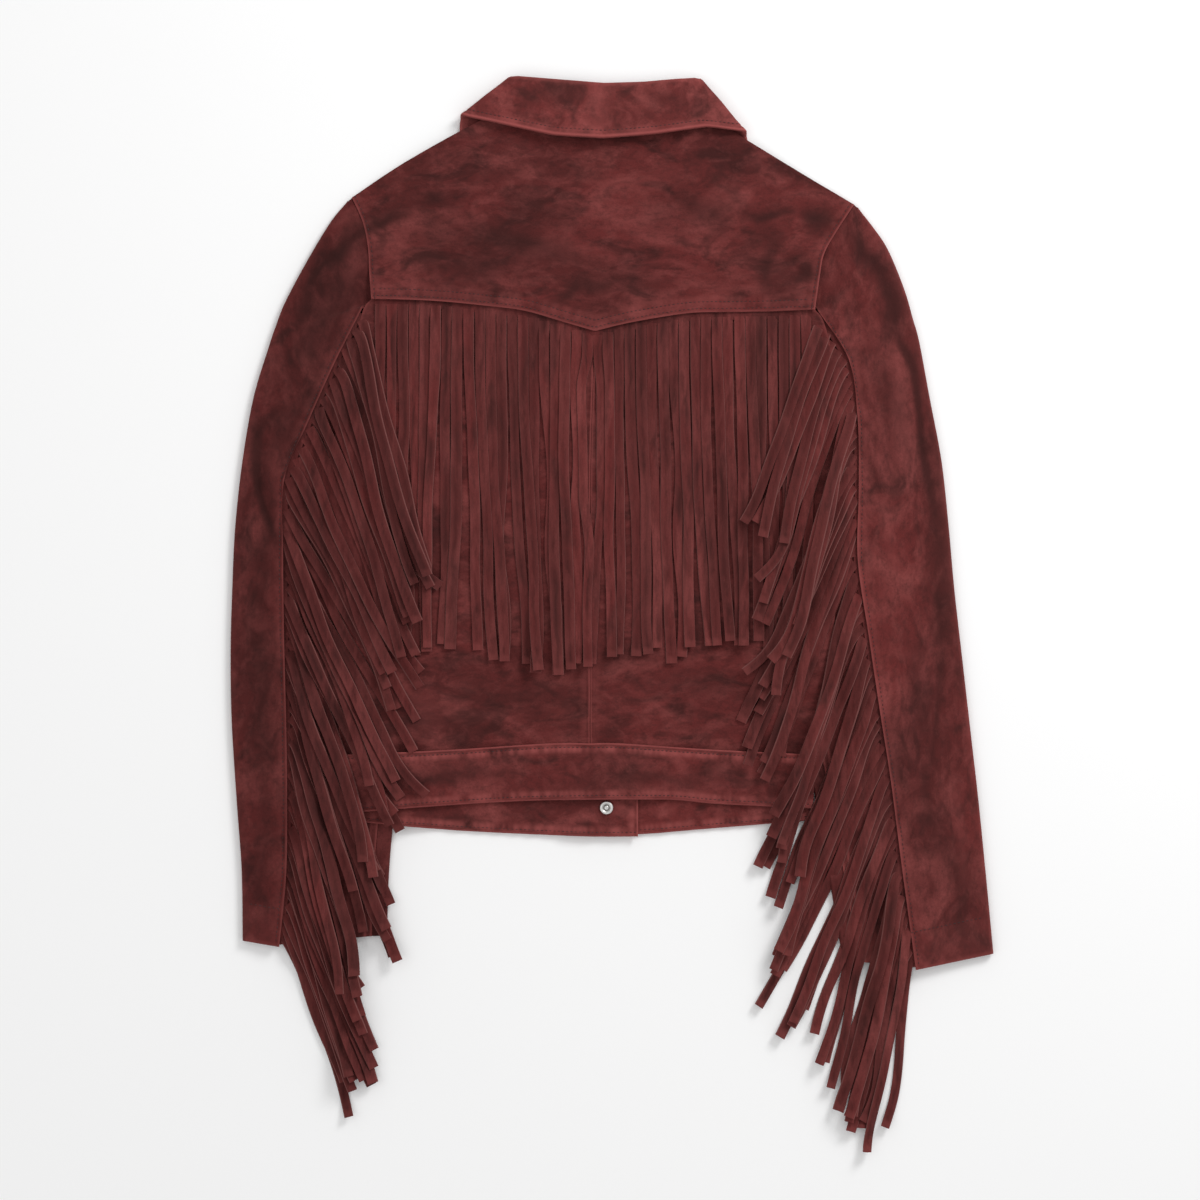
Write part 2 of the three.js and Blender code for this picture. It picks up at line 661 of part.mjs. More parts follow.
// Strands that lie on each other like thatch: each keeps its tilt, and is only as high as it has to be.
function layTilted(grid, nodes, tilt) {
  const rows = nodes.map(({ angle }, k) => ({ z: 0, tilt: k ? tilt(angle) : 0 }));
  rows[0].z = grid[0][0].z;
  const samples = [];
  for (let k = 0; k + 1 < rows.length; k += 1) {
    overFaces([grid[k], grid[k + 1]], 1.5, (_, [a, b, c, d], x, y) => {
      if (!awayFrom(nodes[0], { x, y })) return;
      const need = highest(x, y, 0.2) + clear - b * rows[k].tilt - c * rows[k + 1].tilt;
      samples.push({ corners: [rows[k], rows[k + 1]], weights: [a + b, c + d], need });
    });
  }
  const fixed = new Set([rows[0]]);
  settle(samples, fixed);
  sink(samples, fixed);
  grid.slice(1).forEach(([first, second], k) => {
    first.z = rows[k + 1].z;
    second.z = rows[k + 1].z + rows[k + 1].tilt;
  });
}

function layGrid(grid) {
  overFaces(grid, 0.4, (corners, weights, x, y) => raise(x, y, blend(corners, weights, "z") + fringeSuede));
}

// A fringe as one solid: a narrow strip along the seam, and the strands that leave its edge.
function fringeMesh(name, strands) {
  const points = [];
  const index = [];
  const quad = (a, b, c, d) => index.push(a, b, c, a, c, d);
  const add = (p) => {
    points.push(p.clone(), new THREE.Vector3(p.x, p.y, p.z + fringeSuede));
    return points.length - 2;
  };
  const slab = (a, b, c, d) => {
    quad(a, b, c, d);
    quad(a + 1, d + 1, c + 1, b + 1);
  };
  const wall = (a, b) => quad(a, a + 1, b + 1, b);
  let before = null;
  for (const { root, grid } of strands) {
    const [a, b] = [0, 1].map((way) => ({ back: add(root.back[way]), front: add(root.front[way]) }));
    if (before) {
      slab(before.back, a.back, a.front, before.front);
      wall(before.back, a.back);
      wall(a.front, before.front);
    } else {
      wall(a.front, a.back);
    }
    slab(a.back, b.back, b.front, a.front);
    wall(a.back, b.back);
    let [first, second] = [a.front, b.front];
    for (const row of grid.slice(1)) {
      const [nextFirst, nextSecond] = row.map(add);
      slab(first, second, nextSecond, nextFirst);
      wall(nextFirst, first);
      wall(second, nextSecond);
      [first, second] = [nextFirst, nextSecond];
    }
    wall(second, first);
    before = b;
  }
  wall(before.back, before.front);
  return meshOf(name, points, index, oxbloodDark);
}

function lineLength(line) {
  let sum = 0;
  for (let k = 1; k <= 200; k += 1) sum += line(k / 200).distanceTo(line((k - 1) / 200));
  return sum;
}

// Roots along a seam: for each strand, the strip's two corners under the seam and the two where it leaves.
function rootsAlong(line, side, stripWidth, base, out = null) {
  const length = lineLength(line);
  const count = Math.floor(length / strandPitch);
  const roots = [];
  for (let k = 0; k < count; k += 1) {
    const root = { along: (k + 0.5) / count, back: [], front: [] };
    for (const way of [-1, 1]) {
      const u = root.along + (way * strandWidth) / 2 / length;
      const p = line(u);
      const run = line(Math.min(1, u + 0.015)).clone().sub(line(Math.max(0, u - 0.015))).normalize();
      root.out = out ?? new THREE.Vector2(-run.y, run.x).multiplyScalar(side);
      const back = p.clone().addScaledVector(root.out, -stripUnder);
      const front = p.clone().addScaledVector(root.out, stripWidth);
      root.back.push(new THREE.Vector3(back.x, back.y, base(back.x, back.y)));
      root.front.push(new THREE.Vector3(front.x, front.y, base(front.x, front.y)));
    }
    roots.push(root);
  }
  return roots;
}

function middle([a, b]) {
  return new THREE.Vector2((a.x + b.x) / 2, (a.y + b.y) / 2);
}

const straightDown = -Math.PI / 2;

// Neighbouring strands lie in locks that lean together, in degrees.
function lockLean(k, side) {
  return 0.7 * Math.sin(0.55 * k + side) + 0.8 * Math.sin(0.23 * k - 2 * side);
}

function sleeveFringe(name, stations, drift, side) {
  const points = stations.slice(armholeRows - 1).map((s) => [s.seamX, s.seamY]);
  const seam = edge(...points.slice(1).map((point, k) => [points[k], point]));
  const line = (u) => seam(mix(0.034, 0.992, u));
  const roots = rootsAlong(line, side, sleeveStripWidth, () => underSleeveBase + suede + clear);
  const strands = [];
  for (const [k, root] of [...roots.entries()].reverse()) {
    const seed = k + (side > 0 ? 100 : 400);
    const ownLean = lockLean(k, side) + mix(-0.4, 0.4, uneven(seed + 0.5));
    const lean = between(drift, "along", "drift", root.along) + ownLean;
    const out = Math.atan2(root.out.y, root.out.x);
    const heading = out > Math.PI / 2 ? out - 2 * Math.PI : out;
    const nodes = strandNodes({
      start: middle(root.front),
      heading,
      fall: straightDown + (side * lean * Math.PI) / 180,
      length: between(drift, "along", "length", root.along) * mix(0.88, 1.07, uneven(seed)),
      stops: [0, 7, 19],
      straight: 6,
      bend: 14.5,
      wave: { size: 0.03, length: 30, phase: 0.12 * k },
    });
    const apart = (angle) => strandPitch * Math.abs(Math.cos(angle - heading));
    const tilt = (angle) => Math.min(tiltLimit, (strandTilt * strandWidth) / apart(angle));
    strands.unshift({ root, grid: layStrand(root.front, nodes, side, tilt) });
  }
  return fringeMesh(name, strands);
}

function backFringe(name, roots) {
  const strands = [];
  const order = roots.map((_, k) => k).sort((a, b) => uneven(a + 0.3) - uneven(b + 0.3));
  for (const k of order) {
    const root = roots[k];
    const start = middle(root.front);
    const end = heightOf(backEnds, start.x) + mix(-4, 4, uneven(k + 700));
    const nodes = strandNodes({
      start,
      heading: straightDown,
      fall: straightDown + mix(-0.035, 0.035, uneven(k + 730)),
      length: start.y - end,
      stops: [0, 22],
      straight: 10,
      bend: 60,
      wave: { size: 0.03, length: 45, phase: 6.28 * uneven(k + 760) },
    });
    strands[k] = { root, grid: layStrand(root.front, nodes, -1) };
  }
  return fringeMesh(name, strands);
}

// Body

function shifted(points, dx, dy) {
  return points.map(([x, y]) => [x + dx, y + dy]);
}

// Distance in plan from the nearest side, shoulder or hem of the body.
const bodyOutline = [
  ...shoulderLeft, ...shoulderRight, ...armholeRight, ...underarmRight, ...sideRight,
  ...reversed(backHem), ...reversed(sideLeft), ...reversed(underarmLeft), ...reversed(armholeLeft),
];

function fromOutline(x, y) {
  let nearest = Infinity;
  for (let k = 0; k + 1 < bodyOutline.length; k += 1) {
    const [ax, ay] = bodyOutline[k];
    const [dx, dy] = [bodyOutline[k + 1][0] - ax, bodyOutline[k + 1][1] - ay];
    const t = Math.min(1, Math.max(0, ((x - ax) * dx + (y - ay) * dy) / (dx * dx + dy * dy || 1)));
    nearest = Math.min(nearest, Math.hypot(x - ax - t * dx, y - ay - t * dy));
  }
  return nearest;
}

// The back lies on the fronts at its edges and a little above them, in soft folds, elsewhere.
function backNeed(x, y) {
  const air = Math.max(0, bodyAir * ease(fromOutline(x, y) / 34) + foldHeight(x, y));
  return highest(x, y, 1.2) + laidClear + air;
}

// Front panels run from the shoulder and neck to under the waistband; the wearer's left front is the
// one nearer the back where they close.
function frontGrid(side) {
  const left = side < 0;
  const [neck, shoulder] = left ? [frontNeckLeft, shoulderLeft] : [frontNeckRight, shoulderRight];
  const [armhole, underarm, flank] = left
    ? [armholeLeft, underarmLeft, sideLeft]
    : [armholeRight, underarmRight, sideRight];
  const waist = shifted(left ? frontWaistLeft : frontWaistRight, 0, -lapUnder);
  const [outerEnd, centreEnd] = left ? [waist[0], waist[waist.length - 1]] : [waist[waist.length - 1], waist[0]];
  const outer = edge(armhole, underarm, [...flank.slice(0, -1), outerEnd]);
  const centre = edge([left ? neck[neck.length - 1] : neck[0], centreEnd]);
  return left
    ? patch(edge(shoulder, neck), edge(waist), outer, centre, 12, 8)
    : patch(edge(neck, shoulder), edge(waist), centre, outer, 12, 8);
}

function frontBandGrid(top, bottom) {
  const ends = [edge([top[0], bottom[0]]), edge([top[top.length - 1], bottom[bottom.length - 1]])];
  return patch(edge(top), edge(bottom), ...ends, 2, 10);
}

// Back panels run from under the yoke to under the back waistband and meet at the centre seam.
function backGrid(side) {
  const left = side < 0;
  const top = shifted(left ? yokeSeamLeft : yokeSeamRight, 0, lapUnder);
  const [underarm, flank] = left ? [underarmLeft, sideLeft] : [underarmRight, sideRight];
  const waist = shifted(left ? waistLeft : waistRight, 0, -lapUnder);
  const apart = (side * clear) / 2;
  const centre = edge(shifted(centreSeam, apart, 0));
  const outerTop = left ? top[0] : top[top.length - 1];
  const outerEnd = left ? waist[0] : waist[waist.length - 1];
  const outer = edge([outerTop, underarm[0]], underarm, [...flank.slice(0, -1), outerEnd]);
  const inner = left ? top.length - 1 : 0;
  const innerEnd = left ? waist.length - 1 : 0;
  top[inner] = [centreSeam[0][0] + apart, centreSeam[0][1]];
  waist[innerEnd] = [centreSeam[2][0] + apart, centreSeam[2][1]];
  return left
    ? patch(edge(top), edge(waist), outer, centre, 12, 7)
    : patch(edge(top), edge(waist), centre, outer, 12, 7);
}

function yokeGrid() {
  const top = edge(shoulderLeft, backNeck, shoulderRight);
  return patch(top, edge(yokeSeamLeft, yokeSeamRight), edge(armholeLeft), edge(armholeRight), 7, 18);
}

function backBandGrid() {
  const left = edge([waistLeft[0], backHem[0]]);
  const right = edge([waistRight[waistRight.length - 1], backHem[backHem.length - 1]]);
  return patch(edge(waistLeft, waistRight), edge(backHem), left, right, 2, 16);
}

// Snap on the inside of the left waistband: a ring with a dished middle.
function snapSocket() {
  const { radius, height, dish, bore } = snap;
  const profile = [
    [0, 0], [radius, 0], [radius, height * 0.45], [radius * 0.88, height], [dish, height],
    [dish * 0.85, height * 0.4], [bore, height * 0.4], [bore * 0.7, height * 0.75], [0, height * 0.75],
  ];
  const geometry = new THREE.LatheGeometry(profile.map(([r, y]) => new THREE.Vector2(r, y)), 24);
  const material = new THREE.MeshStandardMaterial({ color: steel, roughness: 0.3, metalness: 1 });
  const mesh = new THREE.Mesh(geometry, material);
  mesh.name = "snap_socket";
  mesh.rotation.x = Math.PI / 2;
  mesh.position.set(snap.x, snap.y, highest(snap.x, snap.y, radius) + clear);
  return mesh;
}

function buildJacket() {
  const jacket = new THREE.Group();
  const put = (mesh, keep) => {
    jacket.add(mesh);
    lay(mesh, keep);
  };
  const belowHead = (y) => y < 250; // nothing lies on the sleeve head above this
  put(topSleeve("sleeve_left_top", leftSleeve), belowHead);
  put(underSleeve("sleeve_left_under", leftSleeve));
  put(topSleeve("sleeve_right_top", rightSleeve), belowHead);
  put(underSleeve("sleeve_right_under", rightSleeve));
  put(collarFall(), (y, z) => z < doubled + rollBulk + 0.1);

  put(panel("waistband_front_right", frontBandGrid(frontWaistRight, frontHemRight), doubled));
  put(panel("waistband_front_left", frontBandGrid(frontWaistLeft, frontHemLeft), doubled));
  put(panel("front_right", frontGrid(1), suede));
  put(panel("front_left", frontGrid(-1), suede));

  const yoke = yokeGrid();
  for (const point of yoke.flat()) point.z = backNeed(point.x, point.y);
  const backLeft = panel("back_left", backGrid(-1), suede, backNeed);
  const backRight = panel("back_right", backGrid(1), suede, backNeed);
  put(backLeft);
  put(backRight);
  const seam = edge(yokeSeamLeft, yokeSeamRight);
  const onBack = (x, y) => highest(x, y, 1) + clear;
  const across = (u) => seam(mix(0.008, 0.992, u));
  const roots = rootsAlong(across, -1, backStripWidth, onBack, new THREE.Vector2(0, -1));
  const strip = roots.flatMap((root) => [0, 1].map((way) => [root.back[way], root.front[way]]));
  settle(samplesOf(strip, 1.5, onBack));
  layGrid(strip);
  put(panel("back_yoke", yoke, suede));
  put(panel("waistband_back", backBandGrid(), doubled));
  put(collarStand());
  jacket.add(snapSocket());

  jacket.add(backFringe("back_fringe", roots));
  jacket.add(sleeveFringe("sleeve_left_fringe", leftSleeve, leftDrift, 1));
  jacket.add(sleeveFringe("sleeve_right_fringe", rightSleeve, rightDrift, -1));
  return jacket;
}

export default buildJacket();
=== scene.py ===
import math
import bpy
import numpy as np
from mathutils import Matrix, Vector
from mathutils.bvhtree import BVHTree


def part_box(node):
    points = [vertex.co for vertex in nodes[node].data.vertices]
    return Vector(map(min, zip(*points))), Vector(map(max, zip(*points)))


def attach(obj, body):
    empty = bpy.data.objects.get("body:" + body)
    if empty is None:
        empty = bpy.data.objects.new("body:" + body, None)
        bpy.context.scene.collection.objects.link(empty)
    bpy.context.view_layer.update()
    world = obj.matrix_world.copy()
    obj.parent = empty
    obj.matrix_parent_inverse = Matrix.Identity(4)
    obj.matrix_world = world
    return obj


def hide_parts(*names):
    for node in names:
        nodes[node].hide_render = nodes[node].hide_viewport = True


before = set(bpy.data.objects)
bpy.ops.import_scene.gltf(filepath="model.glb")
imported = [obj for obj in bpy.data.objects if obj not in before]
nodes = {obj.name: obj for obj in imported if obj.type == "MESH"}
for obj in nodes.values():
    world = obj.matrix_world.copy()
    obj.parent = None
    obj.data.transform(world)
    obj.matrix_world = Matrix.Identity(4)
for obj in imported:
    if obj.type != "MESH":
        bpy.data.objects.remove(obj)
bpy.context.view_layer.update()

rng = np.random.default_rng(11)
print("jacket: frame loaded, %d nodes" % len(nodes))

# Sizes are millimetres until a mesh is made. x grows to the wearer's right arm, y to the collar.
# Walls and gaps are the solids' own.
wall = {"suede": 1.3, "doubled": 2.4, "fringe": 1.0, "clear": 0.3}

outline = {
    "shoulderLeft": [(-193.6, 337.6), (-155.2, 363.2), (-106.4, 390.8)],
    "shoulderRight": [(122.4, 383), (164.8, 357.6), (208, 332)],
    "backNeck": [(-106.4, 390.8), (-75, 404), (-33, 401.5), (8, 398.5), (49, 400), (90, 402), (122.4, 383)],
    "frontNeckLeft": [(-106.4, 390.8), (-76, 352), (-34, 333), (35.2, 326)],
    "frontNeckRight": [(-15.2, 326), (46, 334), (90, 352), (122.4, 383)],
    "yokeLeft": [(-177.6, 256), (-125.6, 254.4), (-83.2, 250.4), (-54.4, 246.4), (-24, 237.6), (0.8, 230.4)],
    "yokeRight": [(0.8, 230.4), (31.2, 237.6), (76, 244.8), (112.8, 245.6), (143.2, 246), (176, 247.2)],
    "armholeLeft": [(-193.6, 337.6), (-184.8, 317.6), (-180.8, 298), (-179.6, 278), (-177.6, 256)],
    "armholeRight": [(208, 332), (194.4, 311.2), (184, 292.8), (180, 274), (176, 247.2)],
    "underarmLeft": [(-177.6, 256), (-186, 220), (-198.4, 176), (-207.2, 144)],
    "underarmRight": [(176, 247.2), (184, 216), (194.4, 176), (200.8, 144)],
    "sideLeft": [(-207.2, 144), (-205.6, 16), (-203, -107)],
    "sideRight": [(200.8, 144), (193.6, 16), (176.8, -107)],
    "centre": [(0.8, 236.4), (-3, 100), (-3, -104.2)],
    "waistLeft": [(-203, -107), (-112, -103.2), (-35.2, -98.2), (-3, -98.2)],
    "waistRight": [(-3, -98.2), (21.6, -98.2), (93.6, -103.2), (176.8, -107)],
    "backHem": [(-201, -154.4), (-135.2, -149.2), (-41.6, -144), (54.4, -143.4), (100, -147), (174.6, -150.4)],
    "frontWaistLeft": [(-203, -112), (-100, -118), (35.2, -121)],
    "frontWaistRight": [(-15.2, -121), (90, -118), (176.8, -112)],
    "frontHemLeft": [(-199, -160), (-112, -168), (-12.8, -172.6), (35.2, -172.8)],
    "frontHemRight": [(-15.2, -171.4), (36, -171.2), (86.4, -167.2), (174.6, -160)],
}

# Stations of a sleeve from shoulder to cuff: outer fold, back seam, inner fold.
leftSleeve = np.array([
    (-197.4, 333.4, -193.9, 337.1, -193.9, 337.1),
    (-209.6, 319.2, -185.1, 317.5, -185.1, 317.5),
    (-228, 288.8, -181.0, 298, -181.0, 298),
    (-246.4, 254.4, -179.8, 276, -179.8, 276),
    (-254.5, 234, -178.4, 257, -178.4, 257),
    (-259.2, 220, -184.8, 249, -184.8, 249),
    (-272, 177.6, -206.4, 206.4, -146, 216),
    (-280.8, 127.2, -228, 158.4, -134.4, 160),
    (-286.4, 76, -247.2, 112, -132.8, 108),
    (-288.8, 32, -248, 48, -136, 48),
    (-290.4, -24, -247.2, -16, -141.6, -16),
    (-289.6, -80, -245.6, -80, -148.8, -80),
    (-285.6, -144, -244.8, -144, -157.6, -140),
    (-281.6, -200, -245.6, -204, -163.2, -200),
    (-280.8, -256, -251.2, -260.8, -164.8, -252),
])
rightSleeve = np.array([
    (211.4, 328.4, 208.2, 331.7, 208.2, 331.7),
    (223.2, 313.6, 194.7, 311.3, 194.7, 311.3),
    (235.2, 295.2, 184.3, 293, 184.3, 293),
    (248, 264, 180.1, 272, 180.1, 272),
    (255, 240, 176.8, 253, 176.8, 253),
    (260, 221.6, 179, 246, 179, 246),
    (268, 178.4, 203.2, 208, 144.8, 210),
    (277.6, 127.2, 210.4, 160, 134.4, 160),
    (283.2, 76.8, 211.2, 104, 134.4, 104),
    (288, 24, 210.4, 48, 140.8, 48),
    (294.4, -32, 219.2, -12.8, 151.2, -16),
    (300.8, -88, 228, -72, 162.4, -76),
    (307.2, -144, 236.8, -128, 175.2, -136),
    (313.6, -208, 245.6, -196.8, 187.2, -204),
    (319.2, -266.4, 256.8, -279.2, 198.4, -273.6),
])
armholeRows = 6

# Creases: half width, height (below 0 is a trough), then the points that each runs through.
creases = [
    (7, -2.2, (-270, 176), (-269.6, 146), (-269, 112), (-262, 84), (-250, 56), (-244, 46)),
    (6, 1.0, (-256, 150), (-255, 110), (-247, 76)), 
    (6.5, -1.9, (-140, 332), (-160, 324), (-182, 312), (-200, 300), (-219, 281), (-230, 262), (-228, 232)),
    (8, 0.8, (-150, 312), (-178, 292), (-206, 262)), (5, 0.8, (-262, 30), (-250, -10), (-254, -50)),
    (4.5, -0.9, (-282, 20), (-262, 8), (-248, 10)), (4.5, -0.8, (-284, -12), (-266, -20), (-250, -14)),
    (4, 0.8, (-284, 4), (-266, -6), (-250, 0)), (5, -0.7, (-282, -44), (-264, -56), (-250, -50)),
    (9, -0.9, (-268, -90), (-262, -150), (-256, -200)), (7, 0.7, (-250, -110), (-252, -170), (-262, -220)),
    (7, -2.2, (190, 322), (204, 310), (219, 287), (231, 272), (238, 248), (242, 224), (254, 203), (260, 163),
     (262, 137), (272, 84), (276, 30)),
    (8, 1.0, (226, 270), (240, 220), (244, 160), (252, 100)), (6, -1.3, (273, 66), (276, 24), (277, -32), (271, -99), (259, -160)),
    (7, 0.7, (232, 120), (236, 60), (244, 10)), (8, -0.8, (248, -60), (262, -120), (268, -190)),
    (7, 0.8, (286, -110), (292, -170), (298, -230)), (5, -0.6, (226, 40), (246, 24), (274, 30)),
    (5, 0.6, (232, -20), (256, -30), (286, -18)), (5, -0.6, (246, -150), (270, -160), (300, -150)),
    (15, -0.9, (-160, 346), (-130, 322), (-120, 280)), (15, -0.9, (160, 336), (136, 318), (130, 280)),
    (12, -0.8, (-78, 296), (-40, 318), (4, 302)), (10, 0.8, (-70, 280), (-30, 300), (10, 286)),
    (11, 0.8, (70, 318), (100, 340), (140, 326)), (12, -0.7, (40, 300), (60, 330), (110, 350)),
    (9, 0.6, (-30, 360), (30, 350), (90, 362)), (14, 0.9, (-170, -20), (-120, -95)),
    (14, 0.9, (120, -20), (150, -95)), (14, -0.7, (-66, -10), (-40, -95)), (7, 0.5, (-140, -55), (-100, -74), (-60, -80)),
    (7, 0.5, (20, -50), (56, -72), (90, -82)), (8, -0.5, (60, -40), (74, -92)),
]

# Darker smears, partly rubbed nap and partly painted shade laid along the crease troughs: x, y, half length, half
# width, angle in degrees, strength.
napAndShadeSmears = [
    (-58, 300, 46, 10, -12, 0.9), (-96, 282, 34, 15, 8, 0.6), (-14, 262, 34, 7, 20, 0.8), (84, 330, 30, 14, -25, 0.7),
    (139, 325, 22, 6, 2, 1.0), (-168, 320, 26, 6, 28, 1.0), (-205, 294, 30, 7, 44, 1.0), (-228, 258, 28, 9, 70, 0.8),
    (-125, 334, 13, 8, 0, 0.9), (179, 320, 14, 9, -20, 1.0), (139, 288, 10, 30, 0, 0.8), (166, 272, 18, 7, 40, 0.8),
    (218, 290, 28, 8, -52, 0.9), (238, 248, 30, 9, -84, 0.9), (-128, 288, 16, 8, 10, 0.6),
    (150, 270, 20, 30, 0, 0.5), (-120, 262, 30, 12, 10, 0.5), (-216, 240, 60, 13, 58, 0.7), (-248, 150, 52, 12, 66, 0.6),
    (-262, 60, 70, 10, 84, 0.6), (-266, -60, 70, 10, 92, 0.6), (-266, -190, 46, 12, 84, 0.5), (278, 60, 120, 9, -86, 0.6),
    (236, 180, 50, 12, -70, 0.5), (262, -60, 60, 10, -76, 0.5), (284, -190, 40, 16, -60, 0.4), (-60, -60, 50, 12, 4, 0.5),
    (90, -52, 46, 12, -6, 0.5), (-150, -84, 30, 8, 6, 0.5), (10, -30, 60, 10, 3, 0.4), (-130, -124, 70, 7, 2, 0.6),
    (60, -126, 60, 6, 0, 0.5), (-30, 418, 36, 8, 4, 0.5), (60, 414, 26, 7, -8, 0.4), (-150, 20, 26, 60, 0, 0.4),
]


def ease(t):
    s = np.clip(t, 0, 1)
    return s * s * (3 - 2 * s)


def mix(a, b, t):
    return a + (b - a) * t


def ripple(x, y, wavelength, seed):
    # soft unevenness between about -1 and 1
    own = np.random.default_rng(seed)
    total = 0
    for _ in range(6):
        angle, phase = own.uniform(0, 2 * math.pi, 2)
        step = 2 * math.pi / (wavelength * own.uniform(0.7, 1.5))
        total = total + np.sin((np.cos(angle) * x + np.sin(angle) * y) * step + phase)
    return total / 3.2


def smoothLine(points, steps=14):
    # smooth line through a few points
    p = np.array(points, float)
    if len(p) == 2:
        return p[0] + (p[1] - p[0]) * np.linspace(0, 1, steps)[:, None]
    parts = []
    t = np.linspace(0, 1, steps, endpoint=False)[:, None]
    for i in range(len(p) - 1):
        a, b, c, d = p[max(i - 1, 0)], p[i], p[i + 1], p[min(i + 2, len(p) - 1)]
        v, w = (c - a) / 2, (d - b) / 2
        parts.append((2 * b - 2 * c + v + w) * t ** 3 + (-3 * b + 3 * c - 2 * v - w) * t ** 2 + v * t + b)
    return np.vstack(parts + [p[-1:]])


class Line:
    # a line in plan, read at shares of its length
    def __init__(self, *stretches):
        parts = [smoothLine(outline[s] if isinstance(s, str) else s) for s in stretches]
        self.points = np.vstack([parts[0]] + [p[1:] for p in parts[1:]])
        steps = np.linalg.norm(np.diff(self.points, axis=0), axis=1)
        self.marks = np.concatenate([[0], np.cumsum(steps)])
        self.length = self.marks[-1]

    def at(self, share):
        s = np.clip(share, 0, 1) * self.length
        return np.stack([np.interp(s, self.marks, self.points[:, k]) for k in (0, 1)], axis=-1)

    def near(self, xy):
        # distance from the line and how far along it, for every point
        flat = xy.reshape(-1, 2)
        best = np.full(len(flat), 1e9)
        along = np.zeros(len(flat))
        for a, b, mark in zip(self.points[:-1], self.points[1:], self.marks):
            run = b - a
            length = max(np.linalg.norm(run), 1e-9)
            t = np.clip(((flat - a) @ run) / length ** 2, 0, 1)
            d = np.linalg.norm(flat - a - t[:, None] * run, axis=1)
            closer = d < best
            best[closer] = d[closer]
            along[closer] = mark + t[closer] * length
        return best.reshape(xy.shape[:-1]), along.reshape(xy.shape[:-1])


def shifted(name, dy):
    return [(x, y + dy) for x, y in outline[name]]


def creaseHeight(x, y):
    total = np.zeros_like(x)
    spots = np.stack([x, y], -1)
    for width, height, *points in creases:
        line = Line(points)
        low, high = line.points.min(0) - 3 * width, line.points.max(0) + 3 * width
        close = np.all((spots > low) & (spots < high), axis=-1)
        if not close.any():
            continue
        d, along = line.near(spots[close])
        share = along / line.length
        own = width * (0.8 + 0.3 * np.sin(share * 7 + width))
        total[close] += height * ease(share / 0.3) * ease((1 - share) / 0.3) * np.exp(-((d / own) ** 2))
    return total


def shadeAndSmearDepth(x, y):
    # painted shade: crease troughs are darkened by half their depth, then the darker smears are laid over
    total = np.clip(-0.5 * creaseHeight(x, y), 0, 0.85)
    wobbleX, wobbleY = 4 * ripple(x, y, 34, 5), 4 * ripple(x, y, 34, 6)
    for cx, cy, half, side, degrees, strength in napAndShadeSmears:
        c, s = math.cos(math.radians(degrees)), math.sin(math.radians(degrees))
        u = (x + wobbleX - cx) * c + (y + wobbleY - cy) * s
        v = -(x + wobbleX - cx) * s + (y + wobbleY - cy) * c
        total = np.maximum(total, strength * np.exp(-((u / half) ** 2) - (v / side) ** 2))
    return total


def closer(count, length, atStart, atEnd, reach=9, step=0.8):
    # shares of a length, closer together near the ends that are sewn
    extra = int(reach / step)
    start = np.linspace(0, reach, extra, endpoint=False) if atStart else np.zeros(0)
    end = length - np.linspace(0, reach, extra, endpoint=False)[::-1] if atEnd else np.zeros(0)
    middle = np.linspace(reach * atStart, length - reach * atEnd, count)
    return np.unique(np.concatenate([start, middle, end])) / length


def patch(top, bottom, left, right, rows, columns):
    # a grid of points between four edges; rows and columns are counts or shares
    u, v = (np.linspace(0, 1, k) if isinstance(k, int) else k for k in (columns, rows))
    u, v = u[None, :, None], v[:, None, None]
    t, b = top.at(u[0, :, 0])[None], bottom.at(u[0, :, 0])[None]
    l, r = left.at(v[:, 0, 0])[:, None], right.at(v[:, 0, 0])[:, None]
    a, c = t[:, :1], t[:, -1:]
    d, e = b[:, :1], b[:, -1:]
    return mix(t, b, v) + mix(l, r, u) - mix(mix(a, c, u), mix(d, e, u), v)


def blurred(z, times):
    for _ in range(times):
        p = np.pad(z, 1, mode="edge")
        z = (p[:-2, 1:-1] + p[2:, 1:-1] + p[1:-1, :-2] + p[1:-1, 2:] + 2 * z) / 6
    return z


def treeOf(*names):
    points, faces = [], []
    for name in names:
        mesh = nodes[name].data
        start = len(points)
        points += [v.co.copy() for v in mesh.vertices]
        faces += [[start + i for i in p.vertices] for p in mesh.polygons]
    return BVHTree.FromPolygons(points, faces)


def heightOn(tree, xy, fromAbove=True):
    # height of a surface under or over every point, in millimetres
    start, way = (0.2, Vector((0, 0, -1))) if fromAbove else (-0.2, Vector((0, 0, 1)))
    found = np.zeros(xy.shape[:-1])
    for k in np.ndindex(found.shape):
        x, y = xy[k] / 1000
        spot = tree.ray_cast(Vector((x, y, start)), way)[0]
        if spot is None:
            spot = tree.find_nearest(Vector((x, y, 0.006)))[0]
        found[k] = spot.z * 1000
    return found


# Everything that has been laid so far, as the highest point of each square millimetre
bed = {"left": -340, "bottom": -480, "map": np.zeros((980, 700))}


def bedCells(x, y):
    i = np.clip((y - bed["bottom"]).astype(int), 0, bed["map"].shape[0] - 1)
    j = np.clip((x - bed["left"]).astype(int), 0, bed["map"].shape[1] - 1)
    return i, j


def layOnBed(grid):
    # grid holds x, y and the upper height
    gap = max(np.linalg.norm(np.diff(grid[..., :2], axis=k), axis=-1).max() for k in (0, 1))
    fine = grid
    for axis in (0, 1):
        count = max(2, int(math.ceil(gap / 0.7)) * (fine.shape[axis] - 1) + 1) if gap > 0.7 else fine.shape[axis]
        at = np.linspace(0, fine.shape[axis] - 1, count)
        low = np.minimum(at.astype(int), fine.shape[axis] - 2)
        t = (at - low).reshape((-1, 1, 1) if axis == 0 else (1, -1, 1))
        fine = mix(np.take(fine, low, axis), np.take(fine, low + 1, axis), t)
    i, j = bedCells(fine[..., 0], fine[..., 1])
    np.maximum.at(bed["map"], (i, j), fine[..., 2])


